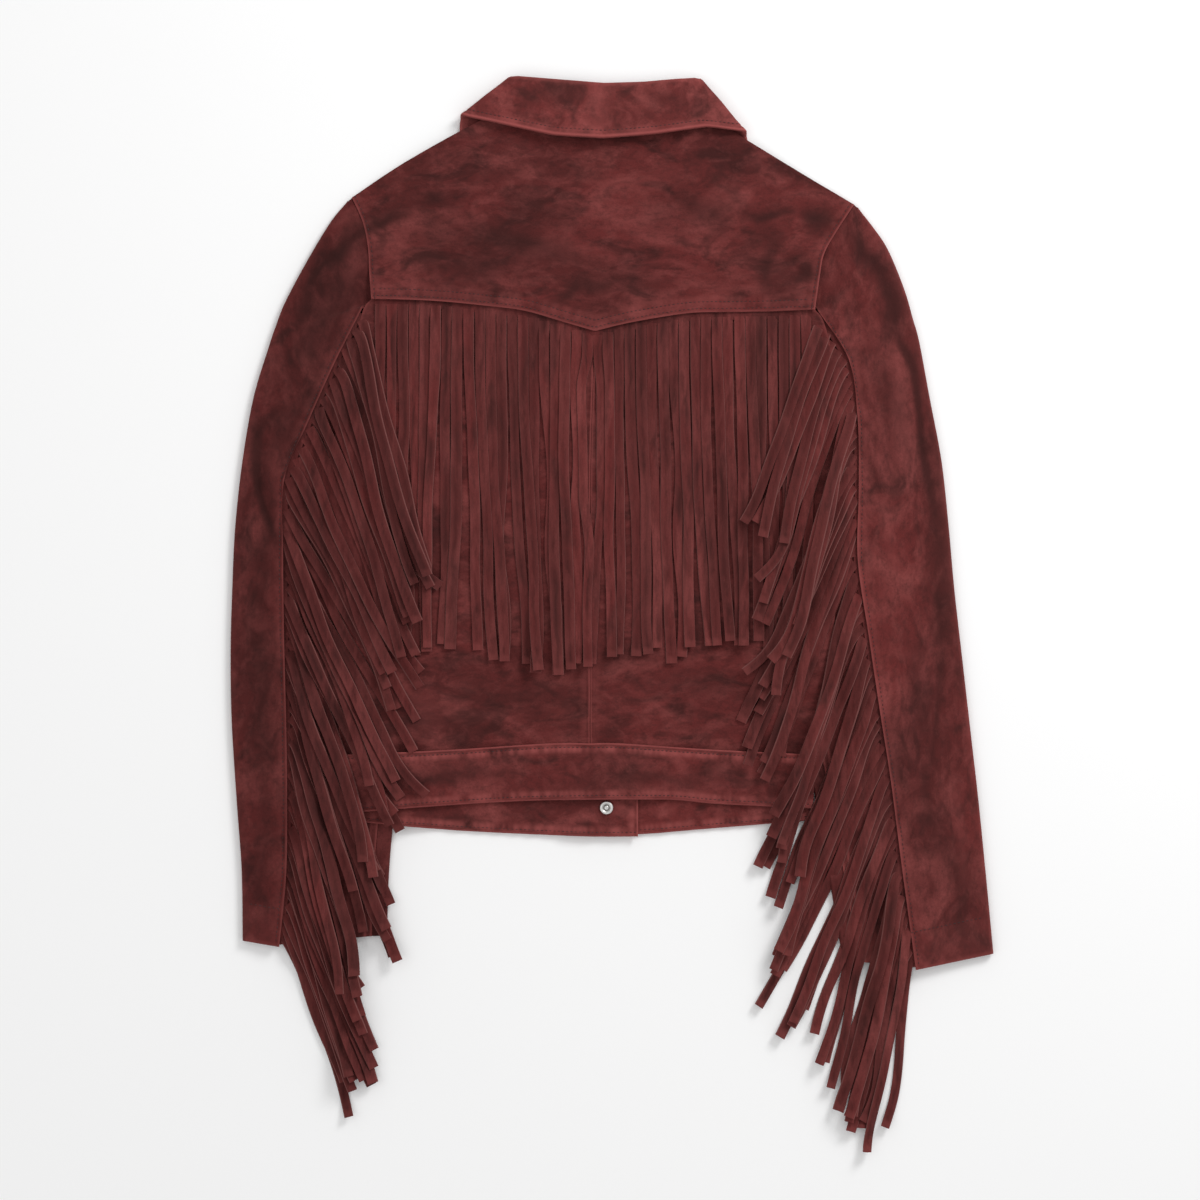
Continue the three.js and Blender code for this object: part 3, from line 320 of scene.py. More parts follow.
def bedHeight(xy, reach=0.8):
    steps = [(0, 0), (reach, 0), (-reach, 0), (0, reach), (0, -reach)]
    return np.max([bed["map"][bedCells(xy[..., 0] + dx, xy[..., 1] + dy)] for dx, dy in steps], axis=0)


def meshFrom(name, points, faces, material, marks=None, faceMarks=None):
    # points in millimetres; marks are values per point that the material reads
    mesh = bpy.data.meshes.new(name)
    mesh.from_pydata((np.asarray(points) / 1000).tolist(), [], faces)
    for key, values in (marks or {}).items():
        layer = mesh.attributes.new(key, "FLOAT", "POINT")
        layer.data.foreach_set("value", np.asarray(values, np.float32).ravel())
    for key, values in (faceMarks or {}).items():
        layer = mesh.attributes.new(key, "FLOAT", "FACE")
        layer.data.foreach_set("value", np.asarray(values, np.float32).ravel())
    mesh.validate()
    mesh.polygons.foreach_set("use_smooth", [True] * len(mesh.polygons))
    mesh.set_sharp_from_angle(angle=math.radians(48))
    mesh.materials.append(material)
    obj = bpy.data.objects.new(name, mesh)
    bpy.context.collection.objects.link(obj)
    return obj


def shellFaces(rows, columns, start=0):
    # upper side, underside and rim of a wall between two grids, upper grid first
    upper = start + np.arange(rows * columns).reshape(rows, columns)
    lower = upper + rows * columns
    quads = [np.stack([g[:-1, :-1], g[1:, :-1], g[1:, 1:], g[:-1, 1:]], -1).reshape(-1, 4) for g in (upper, lower)]
    quads[1] = quads[1][:, ::-1]
    rims = [(upper[0], lower[0]), (upper[:, -1], lower[:, -1]),
            (upper[-1, ::-1], lower[-1, ::-1]), (upper[::-1, 0], lower[::-1, 0])]
    for a, b in rims:
        quads.append(np.stack([a[:-1], a[1:], b[1:], b[:-1]], -1))
    return np.vstack(quads)


def finishPiece(obj, node, cut=None):
    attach(obj, "root")
    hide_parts(node)
    if cut:
        obj.data.calc_loop_triangles()
        area = sum(t.area for t in obj.data.loop_triangles) / 2
        area = min(area, cut[0] * cut[1])


def panelPiece(name, xy, top, thick, material, marks):
    # a panel's wall, thinned a little at its rim so that it looks folded and soft
    rows, columns = top.shape
    rim = np.zeros_like(top)
    rim[[0, -1], :] = 1
    rim[:, [0, -1]] = 1
    upper = np.concatenate([xy, (top - 0.22 * thick * rim)[..., None]], -1)
    lower = np.concatenate([xy, np.maximum(top - thick + 0.22 * thick * rim, 0)[..., None]], -1)
    points = np.vstack([upper.reshape(-1, 3), lower.reshape(-1, 3)])
    layOnBed(upper)
    doubledMarks = {key: np.tile(value.ravel(), 2) for key, value in marks.items()}
    faces = shellFaces(rows, columns)
    if np.cross(xy[1, 0] - xy[0, 0], xy[0, 1] - xy[0, 0]) < 0:
        faces = faces[:, ::-1]
    return meshFrom(name, points, faces.tolist(), material, doubledMarks)


def sewnEdge(line, xy, look):
    # rolled edge, stitched groove and small puckers beside a seam; gives height and wear
    d, along = line.near(xy)
    uneven = 0.72 + 0.28 * np.sin(along / 9 + 2 * np.sin(along / 31))
    pucker = np.sin(along / look["pucker"] + 1.7 * np.sin(along / 23))
    rub = 0.5 + 0.36 * np.sin(along / 8.2 + 2.3 * np.sin(along / 17)) + 0.16 * np.sin(along / 1.9 + 3 * np.sin(along / 23))
    rub = rub + 0.17 * np.sin(along / 0.97 + 5 * np.sin(along / 9.7))
    rub = np.clip(rub, 0, 1)
    roll = look["roll"] * np.exp(-(((d - 1.0) / 1.3) ** 2)) * uneven
    groove = -look["groove"] * sum(np.exp(-(((d - s) / 1.1) ** 2)) for s in look["rows"])
    gathers = look["gather"] * pucker * np.exp(-(((d - look["rows"][-1]) / 4.5) ** 2))
    ridge = np.exp(-((np.maximum(d - 0.5, 0) / 0.7) ** 2)) * (0.75 + 0.25 * uneven)
    last = look["rows"][-1]
    band = look["band"] * ease((last + 6.5 - d) / 5) * ease((d - 1) / 3) * rub
    return roll + groove + gathers, np.maximum(ridge, band) * look["wear"]


# Suede

suedeLook = {
    "middle": (0.133, 0.0232, 0.0222), "dark": (0.037, 0.0112, 0.0104), "light": (0.250, 0.060, 0.056),
    "cut": (0.19, 0.074, 0.068), "grain": (0.75, 1.35, -18), "offset": (0, 0, 0), "depth": 1.0,
}


def suede(name, strand=False, **own):
    look = dict(suedeLook, **own)
    mat = bpy.data.materials.new(name)
    mat.use_nodes = True
    tree = mat.node_tree
    tree.nodes.clear()
    new, link = tree.nodes.new, tree.links.new
    out = new("ShaderNodeOutputMaterial")
    shader = new("ShaderNodeBsdfPrincipled")
    shader.inputs["Roughness"].default_value = 0.94
    shader.inputs["Specular IOR Level"].default_value = 0.10
    shader.inputs["Sheen Weight"].default_value = 0.10
    shader.inputs["Sheen Roughness"].default_value = 0.5
    shader.inputs["Sheen Tint"].default_value = (0.85, 0.36, 0.33, 1)
    link(shader.outputs[0], out.inputs["Surface"])
    coords = new("ShaderNodeTexCoord")
    place = new("ShaderNodeMapping")
    place.inputs["Location"].default_value = look["offset"]
    place.inputs["Rotation"].default_value = (0, 0, math.radians(look["grain"][2]))
    place.inputs["Scale"].default_value = (*look["grain"][:2], 1.0)
    link(coords.outputs["Object"], place.inputs["Vector"])

    def noise(scale, detail, rough=0.55, warp=0.0, source=place, output="Vector"):
        n = new("ShaderNodeTexNoise")
        n.inputs["Scale"].default_value = scale
        n.inputs["Detail"].default_value = detail
        n.inputs["Roughness"].default_value = rough
        n.inputs["Distortion"].default_value = warp
        link(source.outputs[output], n.inputs["Vector"])
        return n.outputs["Fac"]

    def stretch(value, low, high, toLow=0.0, toHigh=1.0):
        n = new("ShaderNodeMapRange")
        for key, number in zip(("From Min", "From Max", "To Min", "To Max"), (low, high, toLow, toHigh)):
            n.inputs[key].default_value = number
        link(value, n.inputs["Value"])
        return n.outputs["Result"]

    def blend(factor, a, b, mode="MIX"):
        n = new("ShaderNodeMix")
        n.data_type = "RGBA"
        n.blend_type = mode
        for socket, value in ((n.inputs["Factor"], factor), (n.inputs[6], a), (n.inputs[7], b)):
            if isinstance(value, tuple):
                socket.default_value = (*value, 1)
            else:
                link(value, socket)
        return n.outputs[2]

    def mark(key):
        n = new("ShaderNodeAttribute")
        n.attribute_name = key
        return n.outputs["Fac"]

    dark, light = look["dark"], look["light"]
    colour = blend(stretch(noise(8, 2, 0.5, 0.6), 0.40, 0.60, 0.45, 0.0), look["middle"], dark)
    colour = blend(stretch(noise(19, 3, 0.55, 1.1), 0.49, 0.68, 0.0, 0.62), colour, light)
    colour = blend(stretch(noise(29, 3, 0.6, 0.9), 0.51, 0.67, 0.0, 0.75), colour, dark)
    colour = blend(stretch(noise(64, 4, 0.65, 0.5), 0.46, 0.70, 0.0, 0.42), colour, light)
    colour = blend(stretch(noise(150, 4, 0.7), 0.47, 0.70, 0.0, 0.50), colour, dark)
    # painted shade: crease troughs and smears darken the colour towards the dark suede
    colour = blend(stretch(mark("smear_and_shade"), 0, 1, 0, 0.92), colour, dark)
    if strand:
        colour = blend(stretch(mark("tone"), -1, 1, 0, 0.5), colour, dark)
        colour = blend(stretch(mark("cut"), 0, 1, 0, 0.85), colour, look["cut"])
    fleck = stretch(noise(620, 3, 0.75, 0.0, coords, "Object"), 0.30, 0.70, 0.0, 1.0)
    colour = blend(stretch(fleck, 0, 1, 0.30, 0.0), colour, dark)
    # lighter for wear on seams, hems, edges and folds, and painted highlight on the crease ridges
    colour = blend(stretch(mark("wear_and_highlight"), 0, 1, 0, 0.88), colour, light)
    link(colour, shader.inputs["Base Color"])

    fine = new("ShaderNodeBump")
    fine.inputs["Strength"].default_value = 0.5 * look["depth"]
    fine.inputs["Distance"].default_value = 0.0004
    link(noise(900, 3, 0.7, 0.0, coords, "Object"), fine.inputs["Height"])
    soft = new("ShaderNodeBump")
    soft.inputs["Strength"].default_value = 0.5 * look["depth"]
    soft.inputs["Distance"].default_value = 0.0016
    link(noise(85, 4, 0.6, 0.3), soft.inputs["Height"])
    link(soft.outputs["Normal"], fine.inputs["Normal"])
    link(fine.outputs["Normal"], shader.inputs["Normal"])
    return mat


def toned(share):
    return {key: tuple(c * share for c in suedeLook[key]) for key in ("middle", "dark", "light")}


bodySuede = suede("suede_body")
# painted shade and painted light: the left sleeve's suede is darkened to 0.80 and the right's lightened to 1.08, for
# light falling off from right to left
sleeveSuede = {
    "left": suede("suede_left_sleeve_painted_shade", offset=(0.31, 0.12, 0), grain=(1.2, 0.8, 12), **toned(0.80)),
    "right": suede("suede_right_sleeve_painted_light", offset=(0.61, 0.35, 0), grain=(1.3, 0.7, -8), **toned(1.08)),
}
bandSuede = suede("suede_band", offset=(0.11, 0.47, 0), grain=(0.9, 1.1, 0), **toned(1.15))
collarSuede = suede("suede_collar", offset=(0.27, 0.07, 0), grain=(1.0, 1.1, 8), **toned(1.34))
# painted shade and painted light: the left fringe's suede is darkened to 0.84 against the right's 0.98, for light
# falling off from right to left
strandSuede = {
    "back": suede("suede_back_fringe", True, offset=(0.2, 0.33, 0), grain=(2.2, 0.45, 0), depth=0.7, **toned(1.02)),
    "left": suede("suede_left_fringe_painted_shade", True, offset=(0.5, 0.13, 0), grain=(2.0, 0.5, 14), depth=0.7, **toned(0.84)),
    "right": suede("suede_right_fringe_painted_light", True, offset=(0.7, 0.23, 0), grain=(2.0, 0.5, -14), depth=0.7, **toned(0.98)),
}
print("jacket: materials made")


def simple(name, colour, rough, metallic=0.0, bumpScale=0, bumpDepth=0.0, uneven=1):
    mat = bpy.data.materials.new(name)
    mat.use_nodes = True
    shader = mat.node_tree.nodes["Principled BSDF"]
    shader.inputs["Roughness"].default_value = rough
    shader.inputs["Metallic"].default_value = metallic
    coords = mat.node_tree.nodes.new("ShaderNodeTexCoord")
    noise = mat.node_tree.nodes.new("ShaderNodeTexNoise")
    noise.inputs["Scale"].default_value = bumpScale or 400
    ramp = mat.node_tree.nodes.new("ShaderNodeValToRGB")
    ramp.color_ramp.elements[0].color = tuple(c * (1 - 0.2 * uneven) for c in colour) + (1,)
    ramp.color_ramp.elements[1].color = tuple(min(1, c * (1 + 0.15 * uneven)) for c in colour) + (1,)
    link = mat.node_tree.links.new
    link(coords.outputs["Object"], noise.inputs["Vector"])
    link(noise.outputs["Fac"], ramp.inputs["Fac"])
    link(ramp.outputs["Color"], shader.inputs["Base Color"])
    if bumpDepth:
        bump = mat.node_tree.nodes.new("ShaderNodeBump")
        bump.inputs["Distance"].default_value = bumpDepth
        bump.inputs["Strength"].default_value = 0.4
        link(noise.outputs["Fac"], bump.inputs["Height"])
        link(bump.outputs["Normal"], shader.inputs["Normal"])
    return mat


threadMaterial = simple("thread", (0.042, 0.013, 0.013), 0.7)
snapMetal = simple("snap_metal", (0.80, 0.79, 0.77), 0.34, 1.0, 300, 0, 0.3)
snapDark = simple("snap_dish", (0.20, 0.19, 0.18), 0.45, 1.0, 300, 0, 0.3)

stitchRows = []  # each row of points on a surface, for the thread


def stitchAlong(line, inset, tree, start=0.01, end=0.99, lift=0.12):
    # a row of stitches inside a seam: inset is to the left of the line's run, below 0 to the right
    count = max(8, int(line.length * (end - start) / 4))
    share = np.linspace(start, end, count)
    p = line.at(share)
    run = np.gradient(p, axis=0)
    run /= np.linalg.norm(run, axis=1)[:, None]
    p = p + np.stack([-run[:, 1], run[:, 0]], -1) * inset
    z = heightOn(tree, p) + lift
    stitchRows.append(np.column_stack([p, z]))


def ownTree(obj):
    mesh = obj.data
    return BVHTree.FromPolygons([v.co.copy() for v in mesh.vertices], [list(p.vertices) for p in mesh.polygons])


# Sleeves

sleeveLook = {
    "height": 5.6, "underBase": 3.4, "capBase": 1.8, "frontSeam": 12, "armholeGap": 0.08,
    "rows": 210, "across": 34, "foldSteps": 9, "lower": 22,
    "seam": {"roll": 0.5, "groove": 0.35, "rows": [3.0], "gather": 0.3, "pucker": 2.2, "wear": 0.8, "band": 0.35},
}


def splineAt(points, t, pull=1.0):
    n = len(points) - 1
    x = np.clip(t, 0, 1) * n
    i = min(int(x), n - 1)
    s = x - i
    a, b, c, d = points[max(i - 1, 0)], points[i], points[i + 1], points[min(i + 2, n)]
    v, w = (c - a) / 2 * pull, (d - b) / 2 * pull
    return (2 * b - 2 * c + v + w) * s ** 3 + (-3 * b + 3 * c - 2 * v - w) * s ** 2 + v * s + b


def sleeveLines(stations, at):
    corner = armholeRows - 1
    outer = splineAt(stations[:, :2], at / (len(stations) - 1))
    if at <= corner:
        seam = splineAt(stations[:armholeRows, 2:4], at / corner)
        away = outer - seam
        seam = seam + away / max(np.linalg.norm(away), 1e-6) * sleeveLook["armholeGap"]
        return outer, seam, seam.copy()
    share = (at - corner) / (len(stations) - 1 - corner)
    return outer, splineAt(stations[corner:, 2:4], share), splineAt(stations[corner:, 4:6], share)


def seamBase(at):
    over = sleeveLook["underBase"] + wall["suede"] + wall["clear"] + wall["fringe"] + wall["clear"]
    return mix(sleeveLook["capBase"], over, ease((at - 4.1) / 0.9))


def sleeveSection(stations, at, columns):
    # the middle of the wall: over the upper side, round the outer fold and along the surface
    outer, seam, inner = sleeveLines(stations, at)
    thick = wall["suede"]
    height = mix(3.4, sleeveLook["height"], ease(at / 2))
    radius = (height - thick) / 2
    upperLength, lowerLength = np.linalg.norm(seam - outer), np.linalg.norm(inner - outer)
    upperWay, lowerWay = (seam - outer) / upperLength, (inner - outer) / lowerLength
    centre = min(height / 2, upperLength * 0.6)
    near = np.linspace(0, 0.16, 9, endpoint=False) * min(1, 55 / max(upperLength, 1))
    t = np.concatenate([near, np.linspace(near[-1] * 9 / 8, 1, columns - 8)])
    far = mix(upperLength, centre, t)
    xy = outer + upperWay * far[:, None]
    z = mix(seamBase(at) + thick / 2, height - thick / 2, ease((t - 0.16) * 1.6))
    relief = 1.15 * creaseHeight(xy[:, 0], xy[:, 1]) + 0.3 * ripple(xy[:, 0], xy[:, 1], 38, 21)
    z = z + relief * ease(t * 3 - 0.2) * ease((1 - t) * 2.5)
    rows = [np.column_stack([xy, z])]
    steps = sleeveLook["foldSteps"]
    angle = math.pi / 2 + math.pi * np.arange(1, steps) / steps
    xy = outer + upperWay * (centre + radius * np.cos(angle))[:, None]
    rows.append(np.column_stack([xy, height / 2 + radius * np.sin(angle)]))
    opened = ease(at - armholeRows + 1.0) ** 0.4 if at > armholeRows - 1 else 0.0
    innerEnd = lowerLength - height / 2 * opened
    far = mix(centre, innerEnd, np.linspace(0, 1, sleeveLook["lower"]))
    rows.append(np.column_stack([outer + lowerWay * far[:, None], np.full(len(far), thick / 2)]))
    turned = mix(thick + 0.3, sleeveLook["underBase"] + thick, opened)
    angle = -math.pi / 2 + math.pi * np.arange(1, steps) / steps
    xy = outer + lowerWay * (innerEnd + (turned - thick) / 2 * np.cos(angle))[:, None]
    rows.append(np.column_stack([xy, turned / 2 + (turned - thick) / 2 * np.sin(angle)]))
    far = np.linspace(innerEnd, innerEnd + (height / 2 - sleeveLook["frontSeam"]) * max(opened, 0.05), 5)
    rows.append(np.column_stack([outer + lowerWay * far[:, None], np.full(5, turned - thick / 2)]))
    return np.vstack(rows)


def seamLine(stations):
    # the fringed back seam of a sleeve
    p = stations[armholeRows - 1:, 2:4]
    return Line(*[np.array([a, b]) for a, b in zip(p[:-1], p[1:])])


def sleeveTop(name, stations, side):
    corner = armholeRows - 1
    steps = np.concatenate([np.linspace(0, corner, 46), np.linspace(corner, len(stations) - 1, 176)[1:]])
    grid = np.array([sleeveSection(stations, at, sleeveLook["across"]) for at in steps])
    run = np.gradient(grid, axis=1)
    along = np.gradient(grid, axis=0)
    normal = np.cross(run, along) * -side
    normal /= np.maximum(np.linalg.norm(normal, axis=-1), 1e-9)[..., None]
    if normal[60, 4, 2] < 0:
        normal = -normal
    half = wall["suede"] / 2
    outerFace, innerFace = grid + normal * half, grid - normal * half
    outerFace[..., 2] = np.maximum(outerFace[..., 2], 0)
    innerFace[..., 2] = np.maximum(innerFace[..., 2], 0.4)
    upper = sleeveLook["across"] + 1
    xy = grid[:, :upper, :2]
    relief, wear_and_highlight = sewnEdge(seamLine(stations), xy, sleeveLook["seam"])
    capD, _ = Line(*[np.array([a, b]) for a, b in zip(stations[:corner, 2:4], stations[1:corner + 1, 2:4])]).near(xy)
    relief = relief - 0.5 * np.exp(-((capD / 2.5) ** 2))
    # painted highlight: the crease ridges are made lighter
    wear_and_highlight = np.maximum(wear_and_highlight, 0.2 * np.clip(creaseHeight(xy[..., 0], xy[..., 1]), 0, 1))
    hem = Line(np.array([stations[-1, :2], stations[-1, 2:4]]))
    hemD, hemAlong = hem.near(xy)
    hemRelief = 0.35 * np.exp(-(((hemD - 1) / 1.6) ** 2)) - 0.3 * np.exp(-(((hemD - 30) / 1.3) ** 2))
    wear_and_highlight = np.maximum(wear_and_highlight, 0.65 * np.exp(-((hemD / 2.2) ** 2)))
    wear_and_highlight = np.maximum(wear_and_highlight, (0.14 if side < 0 else 0.12) * ease((34 - hemD) / 6))
    outerFace[:, :upper, 2] += relief + hemRelief
    innerFace[:, :upper, 2] += (relief + hemRelief) * 0.6
    marks = {"wear_and_highlight": np.zeros(grid.shape[:2]), "smear_and_shade": shadeAndSmearDepth(grid[..., 0], grid[..., 1])}
    marks["wear_and_highlight"][:, :upper] = wear_and_highlight
    fold = np.exp(-(((np.arange(grid.shape[1]) - upper - 3) / 4.0) ** 2))[None]
    marks["wear_and_highlight"] = np.maximum(marks["wear_and_highlight"], 0.35 * fold)
    marks["smear_and_shade"][:, upper + 6:] *= 0.4
    rows, columns = grid.shape[:2]
    points = np.vstack([outerFace.reshape(-1, 3), innerFace.reshape(-1, 3)])
    faces = shellFaces(rows, columns)
    if side > 0:
        faces = faces[:, ::-1]
    doubledMarks = {key: np.tile(value.ravel(), 2) for key, value in marks.items()}
    obj = meshFrom(name, points, faces.tolist(), sleeveSuede["left" if side < 0 else "right"], doubledMarks)
    return obj, outerFace[:, :upper]


def sleeveUnder(name, stations, material):
    at = np.linspace(armholeRows - 0.4, len(stations) - 1, 150)
    underShares = closer(24, 90, 0, 1, 10)
    rows = []
    for a in at:
        outer, seam, inner = sleeveLines(stations, a)
        back = seam + (outer - seam) / np.linalg.norm(outer - seam) * 6
        front = inner + (outer - inner) / np.linalg.norm(outer - inner) * (sleeveLook["frontSeam"] + 0.3)
        rows.append(mix(back, front, underShares[:, None]))
    xy = np.array(rows)
    x, y = xy[..., 0], xy[..., 1]
    top = np.full(x.shape, sleeveLook["underBase"] + wall["suede"])
    end = xy[-1]
    hemD = np.linalg.norm(xy - mix(end[0], end[-1], 0.5), axis=-1)
    hemD = np.abs((y - end[0, 1]))
    shown = ease((hemD < 110) * 1.0)
    top = top + 0.25 * ripple(x, y, 30, 31) * shown - 0.3 * np.exp(-(((hemD - 28) / 1.4) ** 2)) * shown
    inset = np.linalg.norm(xy - xy[:, -1:], axis=-1)
    seam = np.exp(-(((inset - 1) / 1.0) ** 2)) + np.exp(-(((inset - 6) / 1.0) ** 2))
    top = top + 0.45 * seam
    wear_and_highlight = np.maximum(0.7 * np.exp(-((hemD / 3) ** 2)), 0.8 * seam + 0.35 * np.exp(-(((inset - 3.5) / 5) ** 2)))
    marks = {"wear_and_highlight": wear_and_highlight, "smear_and_shade": shadeAndSmearDepth(x, y)}
    return panelPiece(name, xy, top, wall["suede"], material, marks)


pieces = {}
sleeveUpper = {}
for side, tag, stations in ((-1, "left", leftSleeve), (1, "right", rightSleeve)):
    pieces["under_" + tag] = sleeveUnder("sleeve_%s_under_suede" % tag, stations, sleeveSuede[tag])
    pieces["sleeve_" + tag], sleeveUpper[tag] = sleeveTop("sleeve_%s_suede" % tag, stations, side)
print("jacket: sleeves made")


# Panels of the body

bodyLook = {
    "yokeSeam": {"roll": 0.6, "groove": 0.34, "rows": [3.0, 8.4], "gather": 0.22, "pucker": 2.4, "wear": 1.0, "band": 0.4},
    "armhole": {"roll": 0.55, "groove": 0.34, "rows": [3.0], "gather": 0.24, "pucker": 2.2, "wear": 0.95, "band": 0.35},
    "band": {"roll": 0.6, "groove": 0.4, "rows": [3.4], "gather": 0.42, "pucker": 2.6, "wear": 0.95, "band": 1.0},
    "centre": {"roll": 0.7, "groove": 0.3, "rows": [3.4], "gather": 0.12, "pucker": 3.0, "wear": 0.9, "band": 0.3},
    "hidden": {"roll": 0.3, "groove": 0.2, "rows": [3.4], "gather": 0.1, "pucker": 3.0, "wear": 0.5, "band": 0.2},
}


def bodyPanel(name, node, xy, thick, seams, blur, unevenness=0.3, material=None, creased=1.0):
    top = blurred(heightOn(treeOf(node), xy), blur)
    x, y = xy[..., 0], xy[..., 1]
    relief = unevenness * ripple(x, y, 44, 41) + 0.5 * unevenness * ripple(x, y, 17, 42)
    folds = creased * creaseHeight(x, y)
    relief = relief + 0.9 * folds
    wear_and_highlight = np.zeros_like(x)
    flat = np.ones_like(x)
    added = 0
    for seam, kind in seams:
        look = bodyLook[kind]
        height, wear = sewnEdge(seam, xy, look)
        d, _ = seam.near(xy)
        flat = flat * (1 - 0.85 * np.exp(-((d / (look["rows"][-1] + 3)) ** 4)))
        added = added + height
        wear_and_highlight = np.maximum(wear_and_highlight, wear)
    # painted highlight: the crease ridges are made lighter
    wear_and_highlight = np.maximum(wear_and_highlight, 0.22 * np.clip(folds, 0, 1))
    marks = {"wear_and_highlight": wear_and_highlight, "smear_and_shade": shadeAndSmearDepth(x, y)}
    return panelPiece(name, xy, top + relief * flat + added, thick, material or bodySuede, marks)


def straight(a, b):
    return Line(np.array([a, b]))


# fronts and their bands, which show from below and as a strip under the back's hem
frontSides = {
    "right": (Line("frontNeckRight", "shoulderRight"), "frontWaistRight", ("armholeRight", "underarmRight", "sideRight")),
    "left": (Line("shoulderLeft", "frontNeckLeft"), "frontWaistLeft", ("armholeLeft", "underarmLeft", "sideLeft")),
}
for tag in ("right", "left"):
    top, waist, flank = frontSides[tag]
    bottom = Line(shifted(waist, -6))
    sideEnd = bottom.points[-1] if tag == "right" else bottom.points[0]
    flankLine = Line(flank[0], flank[1], list(outline[flank[2]][:-1]) + [tuple(sideEnd)])
    centreTop = top.points[0] if tag == "right" else top.points[-1]
    centreEnd = bottom.points[0] if tag == "right" else bottom.points[-1]
    centreLine = straight(centreTop, centreEnd)
    sides = (centreLine, flankLine) if tag == "right" else (flankLine, centreLine)
    xy = patch(top, bottom, *sides, 120, 60)
    pieces["front_" + tag] = bodyPanel(
        "front_%s_suede" % tag, "front_" + tag, xy, wall["suede"], [(centreLine, "hidden")], 3, 0.0, None, 0.0)
    hem = Line("frontHemRight" if tag == "right" else "frontHemLeft")
    upper = Line(waist)
    ends = (straight(upper.points[0], hem.points[0]), straight(upper.points[-1], hem.points[-1]))
    columns = closer(160, 220, tag == "right", tag == "left")
    xy = patch(upper, hem, *ends, closer(12, 48, 0, 1), columns)
    placket = ends[1] if tag == "left" else ends[0]
    pieces["front_band_" + tag] = bodyPanel(
        "front_band_%s_suede" % tag, "waistband_front_" + tag, xy, wall["doubled"],
        [(hem, "band"), (placket, "band")], 3, 0.15, bandSuede, 0.3)
print("jacket: fronts made")

# back panels
centreLine = Line("centre")
for side, tag in ((-1, "left"), (1, "right")):
    apart = side * 0.15
    top = shifted("yoke" + tag.title(), 6)
    waist = shifted("waist" + tag.title(), -6)
    inner = (outline["centre"][0][0] + apart, outline["centre"][0][1])
    innerEnd = (outline["centre"][2][0] + apart, outline["centre"][2][1])
    flank = outline["side" + tag.title()]
    if side < 0:
        top[-1], waist[-1], outerTop, outerEnd = inner, innerEnd, top[0], waist[0]
    else:
        top[0], waist[0], outerTop, outerEnd = inner, innerEnd, top[-1], waist[-1]
    tuck = [(x + side * more, y) for (x, y), more in zip(outline["underarm" + tag.title()], (0, 5, 2, 0))]
    tuck.insert(1, (tuck[0][0] + side * 6.5, tuck[0][1] - 8))
    outer = Line([outerTop, tuck[0]], tuck, list(flank[:-1]) + [outerEnd])
    centre = Line([(x + apart, y) for x, y in outline["centre"]])
    sides = (outer, centre) if side < 0 else (centre, outer)
    columns = closer(78, 180, side > 0, side < 0)
    xy = patch(Line(top), Line(waist), *sides, 150, columns)
    pieces["back_" + tag] = bodyPanel(
        "back_%s_suede" % tag, "back_" + tag, xy, wall["suede"], [(centreLine, "centre"), (outer, "hidden")], 8, 0.35)

# fringe strip, yoke and waistband go over the back panels
yokeSeam = Line("yokeLeft", "yokeRight")
yokeTop = Line("shoulderLeft", "backNeck", "shoulderRight")
armholes = [Line("armholeLeft"), Line("armholeRight")]
yokeXy = patch(yokeTop, yokeSeam, *armholes, closer(74, 150, 0, 1, 13), closer(170, 370, 1, 1))
waistTop = Line("waistLeft", "waistRight")
backHem = Line("backHem")
bandEnds = [straight(waistTop.points[0], backHem.points[0]), straight(waistTop.points[-1], backHem.points[-1])]
bandXy = patch(waistTop, backHem, *bandEnds, closer(14, 46, 1, 1), 320)
print("jacket: back made")


# Collar

collarLook = {
    "base": 7.2, "turnSteps": 4, "across": 22, "finer": 7, "bead": 1.7, "lift": 1.6, "pull": 0.35,
    "frontLeft": [(-4, 325, -40, 281), (-38, 338, -90, 300), (-60, 366, -117, 345), (-65, 402, -108, 376)],
    "back": [(-67.2, 434.4, -107.2, 402.4), (-48, 432.8, -73.6, 395.2), (-22, 430.8, -32.8, 386.4), (8, 428.4, 8, 384),
             (40, 429.4, 48.8, 387.2), (66, 431.6, 89.6, 392.8), (85.6, 432.8, 122.4, 389)],
    "frontRight": [(81, 400, 125, 370), (74, 362, 132, 335), (50, 336, 102, 296), (16, 325, 52, 281)],
}


